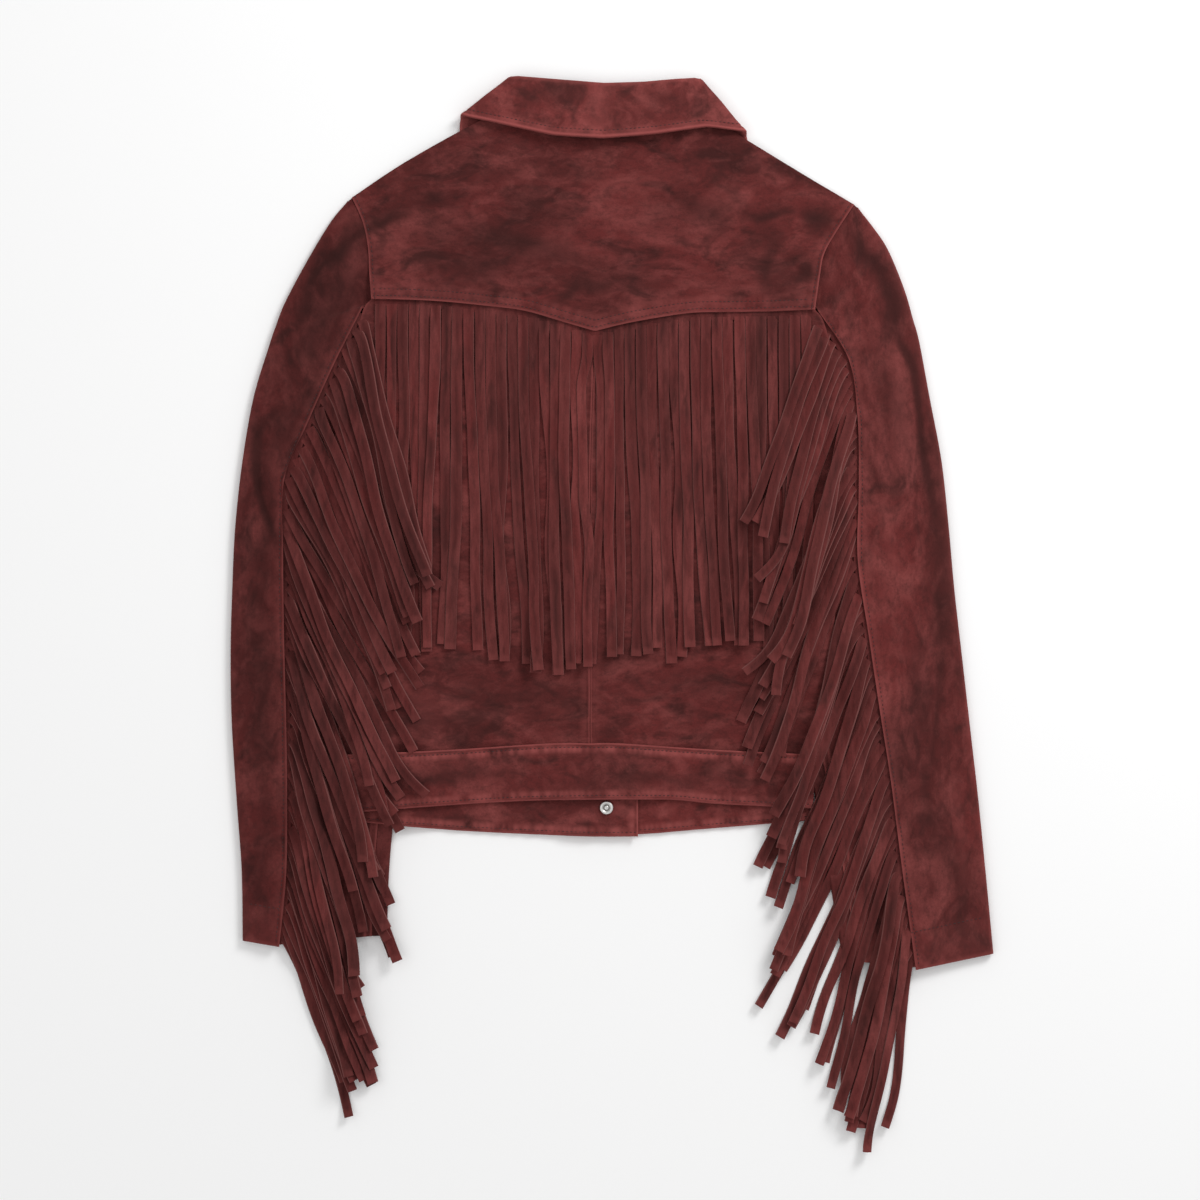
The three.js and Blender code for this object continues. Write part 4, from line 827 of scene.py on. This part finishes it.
def collarStations():
    low = wall["doubled"] / 2
    high = collarLook["base"] + wall["doubled"] / 2
    radius = (high - low) / 2
    stations = []

    def add(row, z, normal, rollShift=(0, 0), rimShift=(0, 0)):
        roll = (row[0] + rollShift[0], row[1] + rollShift[1], z)
        rim = (row[2] + rimShift[0], row[3] + rimShift[1], z)
        stations.append((*roll, *rim, *normal))

    def slid(row, under, over, share, inward, inset):
        # moved in from the turn by inset, but along the collar's own two edges
        moves = []
        for k in (0, 2):
            ways = [np.array(other[k:k + 2]) - np.array(row[k:k + 2]) for other in (under, over)]
            way = mix(ways[0] / np.linalg.norm(ways[0]), ways[1] / np.linalg.norm(ways[1]), share)
            moves.append(way / (way @ inward) * inset)
        return moves

    def turn(row, under, over, fromUnder):
        way = np.array([row[2] - row[0], row[3] - row[1]], float)
        way /= np.linalg.norm(way)
        inward = np.array([way[1], -way[0]]) * np.sign(row[2])
        steps = collarLook["turnSteps"]
        for k in range(steps + 1):
            angle = math.pi * (k if fromUnder else steps - k) / steps - math.pi / 2
            reach = math.cos(angle)
            inset = radius + low - radius * reach
            normal = (*(inward * -reach), math.sin(angle))
            share = k / steps if fromUnder else 1 - k / steps
            add(row, (low + high) / 2 + radius * math.sin(angle), normal, *slid(row, under, over, share, inward, inset))

    for row in collarLook["frontLeft"]:
        add(row, low, (0, 0, -1))
    turn(collarLook["back"][0], collarLook["frontLeft"][-1], collarLook["back"][1], True)
    for row in collarLook["back"][1:-1]:
        add(row, high, (0, 0, 1))
    turn(collarLook["back"][-1], collarLook["frontRight"][0], collarLook["back"][-2], False)
    for row in collarLook["frontRight"]:
        add(row, low, (0, 0, -1))
    return np.array(stations)


def collarPiece():
    coarse = collarStations()
    n = len(coarse)
    share = np.linspace(0, 1, (n - 1) * collarLook["finer"] + 1)
    fine = np.array([splineAt(coarse, s, collarLook["pull"]) for s in share])
    rolls, rims, normals = fine[:, None, :3], fine[:, None, 3:6], fine[:, None, 6:]
    normals = normals / np.linalg.norm(normals, axis=-1, keepdims=True)
    t = np.concatenate([np.linspace(0, 0.8, collarLook["across"]), 1 - 0.2 * (1 - np.linspace(0, 1, 17)[1:]) ** 1.6])
    t = t[None, :, None]
    grid = mix(rolls, rims, t)
    width = np.linalg.norm(rims - rolls, axis=-1)
    fromRim, fromRoll = (1 - t[..., 0]) * width, t[..., 0] * width
    backPart = ease(normals[..., 2] * 1.4)
    along = np.cumsum(np.linalg.norm(np.gradient(fine[:, 3:6], axis=0), axis=1))[:, None]
    bead = mix(wall["doubled"] / 2, collarLook["bead"], ease(normals[..., 2] * 2 - 1))
    round_ = np.sqrt(np.clip(1 - (np.minimum(fromRim, bead) / bead - 1) ** 2, 0, 1))
    half = wall["doubled"] / 2 * (1 - 0.5 * np.exp(-((fromRoll / 1.2) ** 2)))
    half = np.where(fromRim < bead, bead * round_, mix(half, bead, np.exp(-(((fromRim - bead) / 1.1) ** 2))))
    half = np.maximum(half, 0.15)
    crown = 0.9 * np.sin(math.pi * t[..., 0]) ** 0.8 * backPart
    lift = collarLook["lift"] * np.exp(-((fromRim / 9) ** 2)) * backPart
    groove = 0.4 * np.exp(-(((fromRim - 6.2) / 1.1) ** 2))
    wave = 0.4 * ripple(grid[..., 0], grid[..., 1], 36, 51) * backPart * ease(fromRim / 8)
    pucker = 0.14 * np.sin(along / 2.7 + 1.7 * np.sin(along / 23)) * np.exp(-(((fromRim - 6.2) / 3) ** 2))
    rise = crown + wave + lift
    outerFace = grid + (half + rise - groove + pucker * backPart)[..., None] * normals
    innerFace = grid + (np.where(backPart > 0.02, rise * 0.8, 0) - half)[..., None] * normals
    under = normals[..., 2] < -0.2
    for face in (outerFace, innerFace):
        face[..., 2] = np.where(under, np.clip(face[..., 2], 0, None), face[..., 2])
    rows, columns = outerFace.shape[:2]
    points = np.vstack([outerFace.reshape(-1, 3), innerFace.reshape(-1, 3)])
    rub = 0.6 + 0.4 * np.sin(along / 6 + 2 * np.sin(along / 19))
    wear_and_highlight = np.maximum(0.9 * np.exp(-(((fromRim - 1.6) / 1.7) ** 2)), 0.45 * rub * ease((10 - fromRim) / 4))
    wear_and_highlight = np.maximum(wear_and_highlight, 0.5 * np.exp(-((fromRoll / 2.5) ** 2)))
    middle = np.exp(-(((grid[..., 0] - 4) / 9) ** 2)) * backPart
    wear_and_highlight = np.clip(np.maximum(wear_and_highlight, 0.28 * middle), 0, 1)
    marks = {"wear_and_highlight": np.tile(wear_and_highlight.ravel(), 2)}
    marks["smear_and_shade"] = np.tile(shadeAndSmearDepth(grid[..., 0], grid[..., 1]).ravel(), 2)
    obj = meshFrom("collar_fall_suede", points, shellFaces(rows, columns).tolist(), collarSuede, marks)
    stitches = (grid + (half + rise - groove)[..., None] * normals)
    column = int(np.argmin(np.abs(fromRim[rows // 2] - 6.2)))
    shown = normals[:, 0, 2] > 0.85
    return obj, stitches[shown, column]


pieces["collar"], collarRow = collarPiece()

stand = patch(Line([(-60, 427), (-22, 425), (8, 423), (40, 424), (79, 426)]),
              Line([(-72, 407), (-33, 404.5), (8, 401.5), (49, 403), (86, 405.5)]),
              straight((-60, 427), (-72, 407)), straight((79, 426), (86, 405.5)), 12, 60)
pieces["stand"] = bodyPanel("collar_stand_suede", "collar_stand", stand, wall["suede"], [], 1, 0.0, collarSuede, 0.0)
print("jacket: collar made")


# Fringe

fringeLook = {
    "pitch": 8.6, "width": 8.5, "step": 3.5, "stripUnder": 5, "lockLean": 3.6, "arch": 2.6,
    "leftDrift": [(0, 200, 19), (0.12, 210, 20), (0.3, 212, 22), (0.6, 208, 22), (0.8, 198, 20), (1, 144, 17)],
    "rightDrift": [(0, 172, 19), (0.12, 204, 20), (0.3, 211, 22), (0.6, 211, 22), (0.8, 210, 19), (1, 156, 11)],
    "backEnds": [(-180, -22), (-140, -24), (-102, -19), (-86, -32), (-50, -38), (-24, -40), (-2, -34), (13, -27),
                 (42, -23), (56, -29), (92, -22), (130, -21), (175, -16)],
    "backStrip": 6, "sleeveStrip": 3, "gapAt": -4, "gap": 5.5,
}


def readTable(rows, at):
    table = np.array(rows, float)
    return [float(np.interp(at, table[:, 0], table[:, k])) for k in range(1, table.shape[1])]


def strandPath(start, heading, fall, length, straight, bend, waves, flick=0.0):
    step = fringeLook["step"]
    s = np.arange(0, length + step / 2, step)
    turned = 1 - np.exp(-np.maximum(0, s - straight) / bend)
    angle = heading + (fall - heading) * turned
    for size, wavelength, phase in waves:
        angle = angle + size * turned * np.sin(phase + s / wavelength)
    angle = angle + flick * ease((s / length - 0.72) / 0.28)
    stepXy = np.stack([np.cos(angle), np.sin(angle)], -1) * step
    path = start + np.concatenate([[[0, 0]], np.cumsum(stepXy[:-1], axis=0)])
    return path, angle, s


def layStrand(path, angle, s, width, rootZ, stiff=9, curl=0.0, arch=(0, 30), held=5):
    # five lanes across the strand, each no lower than what it lies on, then drawn smooth
    lanes = np.linspace(-0.5, 0.5, 5)
    normal = np.stack([-np.sin(angle), np.cos(angle)], -1)
    xy = path[:, None, :] + normal[:, None, :] * width[:, None, None] * lanes[None, :, None]
    need = bedHeight(xy)
    need = np.maximum(need, np.maximum(np.roll(need, 1, 0), np.roll(need, -1, 0))) + wall["clear"]
    free = ease((s - held) / (held + 1))[:, None]
    need = mix(rootZ, need, free)
    z = need.copy()
    for _ in range(stiff):
        p = np.pad(z, ((1, 1), (1, 1)), mode="edge")
        soft = (p[:-2, 1:-1] + p[2:, 1:-1] + 0.6 * (p[1:-1, :-2] + p[1:-1, 2:]) + z) / 4.2
        soft[0] = rootZ
        z = np.maximum(need, soft)
    z = z + curl * (s / s[-1])[:, None] ** 6 + arch[0] * np.exp(-(((s - arch[1]) / 14) ** 2))[:, None]
    grid = np.concatenate([xy, z[..., None]], -1)
    upper = grid.copy()
    upper[..., 2] += wall["fringe"]
    layOnBed(upper[2:])
    return grid


def strandMesh(parts, grid, tone, bevels):
    # a flat ribbon with cut edges; lanes 0, 2 and 4 are kept, and the upper side is narrower by the bevels
    lower = grid[:, ::2].copy()
    upper = lower.copy()
    across = upper[:, 2] - upper[:, 0]
    across = across / np.maximum(np.linalg.norm(across, axis=1, keepdims=True), 1e-6)
    upper[:, 0] += across * bevels[0]
    upper[:, 2] -= across * bevels[1]
    upper[..., 2] += wall["fringe"]
    upper[:, 1, 2] += 0.15
    rows = len(lower)
    faces = shellFaces(rows, 3, parts["count"])
    if np.cross(upper[1, 0, :2] - upper[0, 0, :2], upper[0, 1, :2] - upper[0, 0, :2]) < 0:
        faces = faces[:, ::-1]
    parts["points"].append(np.vstack([upper.reshape(-1, 3), lower.reshape(-1, 3)]))
    parts["faces"].append(faces)
    cut = np.zeros(len(faces))
    cut[4 * (rows - 1):] = 1
    parts["cut"].append(cut)
    parts["tone"].append(np.full(rows * 6, tone))
    edge = np.tile(np.array([0.22, 0.0, 0.22]), (rows, 1))
    edge[-2:] = 0.35
    parts["wear_and_highlight"].append(np.concatenate([edge.ravel(), np.zeros(rows * 3)]))
    parts["count"] += rows * 6


def stripMesh(parts, grid, thick):
    rows, columns = grid.shape[:2]
    upper = grid.copy()
    upper[..., 2] += thick
    faces = shellFaces(rows, columns, parts["count"])
    if np.cross(upper[1, 0, :2] - upper[0, 0, :2], upper[0, 1, :2] - upper[0, 0, :2]) < 0:
        faces = faces[:, ::-1]
    parts["points"].append(np.vstack([upper.reshape(-1, 3), grid.reshape(-1, 3)]))
    parts["faces"].append(faces)
    parts["cut"].append(np.zeros(len(faces)))
    parts["tone"].append(np.full(rows * columns * 2, -0.2))
    parts["wear_and_highlight"].append(np.zeros(rows * columns * 2))
    parts["count"] += rows * columns * 2


def fringePiece(name, parts, material):
    points = np.vstack(parts["points"])
    marks = {"tone": np.concatenate(parts["tone"]), "wear_and_highlight": np.concatenate(parts["wear_and_highlight"]),
             "smear_and_shade": 0.5 * shadeAndSmearDepth(points[:, 0], points[:, 1])}
    faceMarks = {"cut": np.concatenate(parts["cut"])}
    return meshFrom(name, points, np.vstack(parts["faces"]).tolist(), material, marks, faceMarks)


def newParts():
    return {"points": [], "faces": [], "cut": [], "tone": [], "wear_and_highlight": [], "count": 0}


def rootsAlong(line, count, out, strip):
    # middle of each root, and the way it leaves the seam
    share = (np.arange(count) + 0.5) / count
    p = line.at(share)
    if out is None:
        run = line.at(share + 0.015) - line.at(share - 0.015)
        run /= np.linalg.norm(run, axis=1)[:, None]
        out = np.stack([-run[:, 1], run[:, 0]], -1)
    else:
        out = np.tile(np.array(out, float), (count, 1))
    return share, p + out * strip, out


def backFringe():
    own = np.random.default_rng(23)
    parts = newParts()
    line = Line(*[yokeSeam.at(np.linspace(0.008, 0.992, 200))])
    count = int(line.length // fringeLook["pitch"])
    share, roots, _ = rootsAlong(line, count, (0, -1), fringeLook["backStrip"])
    across = line.at(np.linspace(0, 1, 190))
    drop = np.linspace(fringeLook["stripUnder"], -fringeLook["backStrip"], 8)
    strip = np.stack([across + np.array([0, d]) for d in drop])
    z = np.maximum(bedHeight(strip, 1.5), blurred(bedHeight(strip, 1.5), 6)) + 0.3
    z = blurred(z, 2)
    grid = np.concatenate([strip, z[..., None]], -1)
    stripMesh(parts, grid, wall["fringe"])
    upper = grid.copy()
    upper[..., 2] += wall["fringe"]
    layOnBed(upper)
    order = np.argsort(own.random(count))
    lean = np.cumsum(own.normal(0, 0.7, count))
    lean = lean - np.interp(np.arange(count), [0, count - 1], [lean[0], lean[-1]])
    for k in order:
        start = roots[k] + np.array([own.normal(0, 0.25), 2.5])
        end = readTable(fringeLook["backEnds"], start[0])[0] + own.uniform(-6, 6)
        fall = -math.pi / 2 + math.radians(np.clip(lean[k], -2.5, 2.5) + own.normal(0, 0.9))
        waves = [(0.035, 34, own.uniform(0, 6)), (0.02, 13, own.uniform(0, 6))]
        if own.random() < 0.12:
            waves.append((0.10, 22, own.uniform(0, 6)))
        path, angle, s = strandPath(start, -math.pi / 2, fall, start[1] - end, 10, 60, waves, own.normal(0, 0.06))
        narrow = own.uniform(0.84, 1.06)
        opens = own.uniform(0, 1) ** 1.6 * 70
        width = fringeLook["pitch"] * mix(1.0, narrow, ease((s - opens) / 26)) * (1 + 0.03 * np.sin(s / 21 + k))
        beside = start[0] - fringeLook["gapAt"]
        push = np.sign(beside) * fringeLook["gap"] * math.exp(-abs(beside) / 9)
        path[:, 0] += push * ease((s - 14) / 30) * ease((175 - s) / 50)
        rootZ = float(np.interp(start[0], across[:, 0], z[-1])) + 0.05
        strand = layStrand(path, angle, s, width, rootZ, 9, own.uniform(0, 1) ** 3 * 2.5)
        bevels = (0.15, own.uniform(0.3, 0.6)) if own.random() < 0.5 else (own.uniform(0.3, 0.6), 0.15)
        strandMesh(parts, strand, own.uniform(-1, 0.8), bevels)
    return fringePiece("back_fringe_suede", parts, strandSuede["back"])


def sleeveFringe(name, stations, drift, side, seed):
    # side is 1 where the strands leave to the wearer's right, as on the left sleeve
    own = np.random.default_rng(seed)
    parts = newParts()
    seam = seamLine(stations)
    line = Line(*[seam.at(np.linspace(0.008, 0.992, 260))])
    count = int(line.length // fringeLook["pitch"])
    share, roots, outward = rootsAlong(line, count, None, fringeLook["sleeveStrip"])
    outward = outward * side
    roots = line.at(share) + outward * fringeLook["sleeveStrip"]
    baseZ = sleeveLook["underBase"] + wall["suede"] + wall["clear"]
    across = line.at(np.linspace(0, 1, 260))
    run = np.gradient(across, axis=0)
    run /= np.linalg.norm(run, axis=1)[:, None]
    ways = np.stack([-run[:, 1], run[:, 0]], -1) * side
    strip = np.stack([across + ways * d for d in np.linspace(-5, fringeLook["sleeveStrip"], 5)])
    stripMesh(parts, np.concatenate([strip, np.full(strip.shape[:2] + (1,), baseZ)], -1), wall["fringe"])
    order = sorted(range(count), key=lambda k: -(k + own.uniform(-1.6, 1.6)))
    lock, centre, pull = np.zeros(count), np.zeros(count), np.zeros(count)
    k = 0
    while k < count:
        size = int(own.integers(2, 6))
        lock[k:k + size] = own.normal(0, fringeLook["lockLean"])
        centre[k:k + size] = k + (min(size, count - k) - 1) / 2
        pull[k:k + size] = own.uniform(0.4, 1.5)
        k += size
    for k in order:
        length, lean = readTable(drift, share[k])
        out = outward[k]
        heading = math.atan2(out[1], out[0])
        if heading > math.pi / 2:
            heading -= 2 * math.pi
        length *= own.uniform(0.86, 1.06)
        lean = lean + lock[k] + (k - centre[k]) * pull[k] + own.normal(0, 1.1)
        fall = -math.pi / 2 + side * math.radians(lean)
        waves = [(0.06, 34, own.uniform(0, 6)), (0.035, 13, own.uniform(0, 6))]
        flick = side * abs(own.normal(0, 0.10)) if own.random() > 0.12 else side * own.uniform(0.4, 0.9)
        if own.random() < 0.2:
            flick = -side * own.uniform(0.05, 0.3)
        heading = mix(heading, fall, own.uniform(0.45, 1.0)) + own.normal(0, 0.12)
        start = roots[k] + out * own.uniform(-1.0, 0.6)
        straight, bend = own.uniform(0, 1) ** 3 * 5, 3 + own.uniform(0, 1) ** 2 * 9
        path, angle, s = strandPath(start, heading, fall, length, straight, bend, waves, flick)
        width = fringeLook["width"] * mix(1.0, own.uniform(0.84, 1.04), ease(s / 30))
        arch = (own.uniform(0, 1) ** 2 * fringeLook["arch"], own.uniform(16, 60))
        strand = layStrand(path, angle, s, width, baseZ, 12, own.uniform(0, 1) ** 3 * 4, arch, 2)
        wide = own.uniform(0.5, 0.95)
        bevels = (0.15, wide) if own.random() < 0.6 else (wide, 0.15)
        strandMesh(parts, strand, own.uniform(-1.0, 0.9), bevels)
    return fringePiece(name, parts, strandSuede["left" if side > 0 else "right"])


pieces["back_fringe"] = backFringe()
pieces["yoke"] = bodyPanel(
    "back_yoke_suede", "back_yoke", yokeXy, wall["suede"],
    [(yokeSeam, "yokeSeam"), (armholes[0], "armhole"), (armholes[1], "armhole")], 6, 0.3)
pieces["waistband"] = bodyPanel(
    "waistband_back_suede", "waistband_back", bandXy, wall["doubled"],
    [(waistTop, "band"), (backHem, "band")], 5, 0.22, bandSuede, 0.5)
pieces["left_fringe"] = sleeveFringe("sleeve_left_fringe_suede", leftSleeve, fringeLook["leftDrift"], 1, 31)
pieces["right_fringe"] = sleeveFringe("sleeve_right_fringe_suede", rightSleeve, fringeLook["rightDrift"], -1, 32)
print("jacket: fringe made, highest %.1f mm" % bed["map"].max())


# Thread

stitchLook = {"spacing": 3.4, "length": 2.1, "thickness": 0.6}


def stitchTree(look):
    tree = bpy.data.node_groups.new("stitch_row", "GeometryNodeTree")
    face = tree.interface
    face.new_socket("Geometry", in_out="INPUT", socket_type="NodeSocketGeometry")
    for key in ("Spacing", "Length", "Thickness"):
        face.new_socket(key, in_out="INPUT", socket_type="NodeSocketFloat")
    face.new_socket("Material", in_out="INPUT", socket_type="NodeSocketMaterial")
    face.new_socket("Geometry", in_out="OUTPUT", socket_type="NodeSocketGeometry")
    new, link = tree.nodes.new, tree.links.new
    given, out = new("NodeGroupInput"), new("NodeGroupOutput")
    rows = new("GeometryNodeResampleCurve")
    rows.mode = "LENGTH"
    link(given.outputs["Geometry"], rows.inputs["Curve"])
    link(given.outputs["Spacing"], rows.inputs["Length"])
    ball = new("GeometryNodeMeshUVSphere")
    ball.inputs["Segments"].default_value = 6
    ball.inputs["Rings"].default_value = 4
    ball.inputs["Radius"].default_value = 0.5
    size = new("ShaderNodeCombineXYZ")
    link(given.outputs["Thickness"], size.inputs["X"])
    link(given.outputs["Thickness"], size.inputs["Y"])
    link(given.outputs["Length"], size.inputs["Z"])
    tangent = new("GeometryNodeInputTangent")
    turn = new("FunctionNodeAlignRotationToVector")
    turn.axis = "Z"
    link(tangent.outputs["Tangent"], turn.inputs["Vector"])
    vary = new("FunctionNodeRandomValue")
    vary.data_type = "FLOAT"
    vary.inputs[2].default_value = 0.85
    vary.inputs[3].default_value = 1.1
    vary.inputs["Seed"].default_value = 5
    sized = new("ShaderNodeVectorMath")
    sized.operation = "SCALE"
    link(size.outputs[0], sized.inputs[0])
    link(vary.outputs[1], sized.inputs["Scale"])
    place = new("GeometryNodeInstanceOnPoints")
    link(rows.outputs["Curve"], place.inputs["Points"])
    link(ball.outputs["Mesh"], place.inputs["Instance"])
    link(turn.outputs["Rotation"], place.inputs["Rotation"])
    link(sized.outputs["Vector"], place.inputs["Scale"])
    real = new("GeometryNodeRealizeInstances")
    paint = new("GeometryNodeSetMaterial")
    link(place.outputs["Instances"], real.inputs["Geometry"])
    link(real.outputs["Geometry"], paint.inputs["Geometry"])
    link(given.outputs["Material"], paint.inputs["Material"])
    link(paint.outputs["Geometry"], out.inputs["Geometry"])
    return tree


def threadPiece(name, rows, look):
    curve = bpy.data.curves.new(name + "_rows", "CURVE")
    curve.dimensions = "3D"
    for row in rows:
        spline = curve.splines.new("POLY")
        spline.points.add(len(row) - 1)
        spline.points.foreach_set("co", np.column_stack([row / 1000, np.ones(len(row))]).ravel())
    holder = bpy.data.objects.new(name + "_rows", curve)
    bpy.context.collection.objects.link(holder)
    tree = stitchTree(look)
    modifier = holder.modifiers.new("stitches", "NODES")
    modifier.node_group = tree
    sockets = {i.name: i.identifier for i in tree.interface.items_tree if i.in_out == "INPUT"}
    modifier[sockets["Spacing"]] = look["spacing"] / 1000
    modifier[sockets["Length"]] = look["length"] / 1000
    modifier[sockets["Thickness"]] = look["thickness"] / 1000
    modifier[sockets["Material"]] = threadMaterial
    mesh = bpy.data.meshes.new_from_object(holder.evaluated_get(bpy.context.evaluated_depsgraph_get()))
    bpy.data.objects.remove(holder)
    mesh.polygons.foreach_set("use_smooth", [True] * len(mesh.polygons))
    obj = bpy.data.objects.new(name, mesh)
    bpy.context.collection.objects.link(obj)
    return obj


yokeTree = ownTree(pieces["yoke"])
stitchAlong(yokeSeam, 3.0, yokeTree, 0.006, 0.994)
stitchAlong(yokeSeam, 8.4, yokeTree, 0.02, 0.98)
stitchAlong(armholes[0], 3.0, yokeTree)
stitchAlong(armholes[1], -3.0, yokeTree)
bandTree = ownTree(pieces["waistband"])
stitchAlong(waistTop, -3.4, bandTree)
stitchAlong(backHem, 3.4, bandTree)
for tag, side in (("left", 1), ("right", -1)):
    stitchAlong(Line("frontHem" + tag.title()), 3.4, ownTree(pieces["front_band_" + tag]))
    stations = leftSleeve if tag == "left" else rightSleeve
    tree = ownTree(pieces["sleeve_" + tag])
    stitchAlong(seamLine(stations), -3.0 * side, tree, 0.02, 0.99)
    hem = straight(stations[-1, :2], stations[-1, 2:4])
    stitchAlong(hem, 30 * side, tree, 0.08, 0.95)
stitchRows.append(collarRow + [0, 0, 0.1])
threads = threadPiece("seam_stitches", stitchRows, stitchLook)
print("jacket: %d rows of stitches" % len(stitchRows))


# Snap

snapLook = {"x": 10, "y": -149.8, "radius": 5.4}


def snapPiece():
    low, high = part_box("snap_socket")
    base = low[2] * 1000
    profile = [(0, 0), (5.1, 0), (5.4, 0.3), (5.4, 0.75), (5.15, 1.25), (4.6, 1.6), (4.1, 1.7), (3.6, 1.6), (3.3, 1.3),
               (3.15, 0.8), (2.8, 0.62), (1.9, 0.6), (1.7, 0.75), (1.6, 1.2), (1.35, 1.4), (0.9, 1.42), (0, 1.36)]
    turns = 56
    points, faces = [], []
    for r, z in profile[1:-1]:
        for k in range(turns):
            a = 2 * math.pi * k / turns
            points.append((snapLook["x"] + r * math.cos(a), snapLook["y"] + r * math.sin(a), base + z))
    rings = len(profile) - 2
    for i in range(rings - 1):
        for k in range(turns):
            n = (k + 1) % turns
            faces.append((i * turns + k, i * turns + n, (i + 1) * turns + n, (i + 1) * turns + k))
    points += [(snapLook["x"], snapLook["y"], base), (snapLook["x"], snapLook["y"], base + profile[-1][1])]
    bottom, top = len(points) - 2, len(points) - 1
    for k in range(turns):
        n = (k + 1) % turns
        faces.append((bottom, n, k))
        faces.append((top, (rings - 1) * turns + k, (rings - 1) * turns + n))
    obj = meshFrom("snap_socket_ring", points, faces, snapMetal)
    obj.data.materials.append(snapDark)
    for face in obj.data.polygons:
        x, y, z = face.center * 1000
        reach = math.hypot(x - snapLook["x"], y - snapLook["y"])
        face.material_index = int(1.75 < reach < 2.9)
    return obj


snapRing = snapPiece()


# Riding: each piece goes on the root and its frame part is hidden. Each cut is the piece's flat size in metres.
cuts = {
    "yoke": ("back_yoke", (0.41, 0.18)),
    "back_left": ("back_left", (0.21, 0.37)),
    "back_right": ("back_right", (0.21, 0.37)),
    "waistband": ("waistband_back", (0.39, 0.052)),
    "front_left": ("front_left", (0.25, 0.53)),
    "front_right": ("front_right", (0.25, 0.53)),
    "front_band_left": ("waistband_front_left", (0.245, 0.056)),
    "front_band_right": ("waistband_front_right", (0.20, 0.056)),
    "collar": ("collar_fall", (0.60, 0.075)),
    "stand": ("collar_stand", (0.16, 0.025)),
    "sleeve_left": ("sleeve_left_top", (0.235, 0.62)),
    "sleeve_right": ("sleeve_right_top", (0.235, 0.62)),
    "under_left": ("sleeve_left_under", (0.115, 0.50)),
    "under_right": ("sleeve_right_under", (0.10, 0.51)),
}
for key, (node, cut) in cuts.items():
    finishPiece(pieces[key], node, cut)
for key, node in (("back_fringe", "back_fringe"), ("left_fringe", "sleeve_left_fringe"), ("right_fringe", "sleeve_right_fringe")):
    finishPiece(pieces[key], node)
finishPiece(snapRing, "snap_socket")
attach(threads, "root")


# Floor, light and camera

stageLook = {"floor": (0.985, 0.985, 0.985), "key": 30, "fill": 4, "world": 0.66}
bpy.context.scene.view_settings.view_transform = "Standard"

bpy.ops.mesh.primitive_plane_add(size=9, location=(0, 0, -0.0004))
floor = bpy.context.object
floor.name = "floor"
floor.data.materials.append(simple("floor_paper", stageLook["floor"], 0.9, 0, 0, 0, 0))


def softLight(name, place, size, power, colour=(1, 1, 1)):
    light = bpy.data.lights.new(name, "AREA")
    light.shape = "RECTANGLE"
    light.size, light.size_y = size
    light.energy = power
    light.color = colour
    obj = bpy.data.objects.new(name, light)
    obj.location = place
    obj.rotation_euler = (Vector((0, 0.02, 0)) - Vector(place)).to_track_quat("-Z", "Y").to_euler()
    bpy.context.collection.objects.link(obj)


softLight("key_softbox", (1.35, 1.5, 1.35), (0.8, 0.8), stageLook["key"])
softLight("fill_softbox", (-1.4, -0.4, 1.9), (1.6, 1.6), stageLook["fill"])
world = bpy.data.worlds.new("studio")
bpy.context.scene.world = world
world.use_nodes = True
world.node_tree.nodes["Background"].inputs["Color"].default_value = (1, 1, 1, 1)
world.node_tree.nodes["Background"].inputs["Strength"].default_value = stageLook["world"]

cameraData = bpy.data.cameras.new("camera")
cameraData.lens = 100
cameraData.sensor_width = 36
camera = bpy.data.objects.new("camera", cameraData)
camera.location = (0.0048, 0.016, 0.96 * 100 / 36)
camera.rotation_euler = (0, 0, 0)
bpy.context.collection.objects.link(camera)
bpy.context.scene.camera = camera


print("jacket: ready")
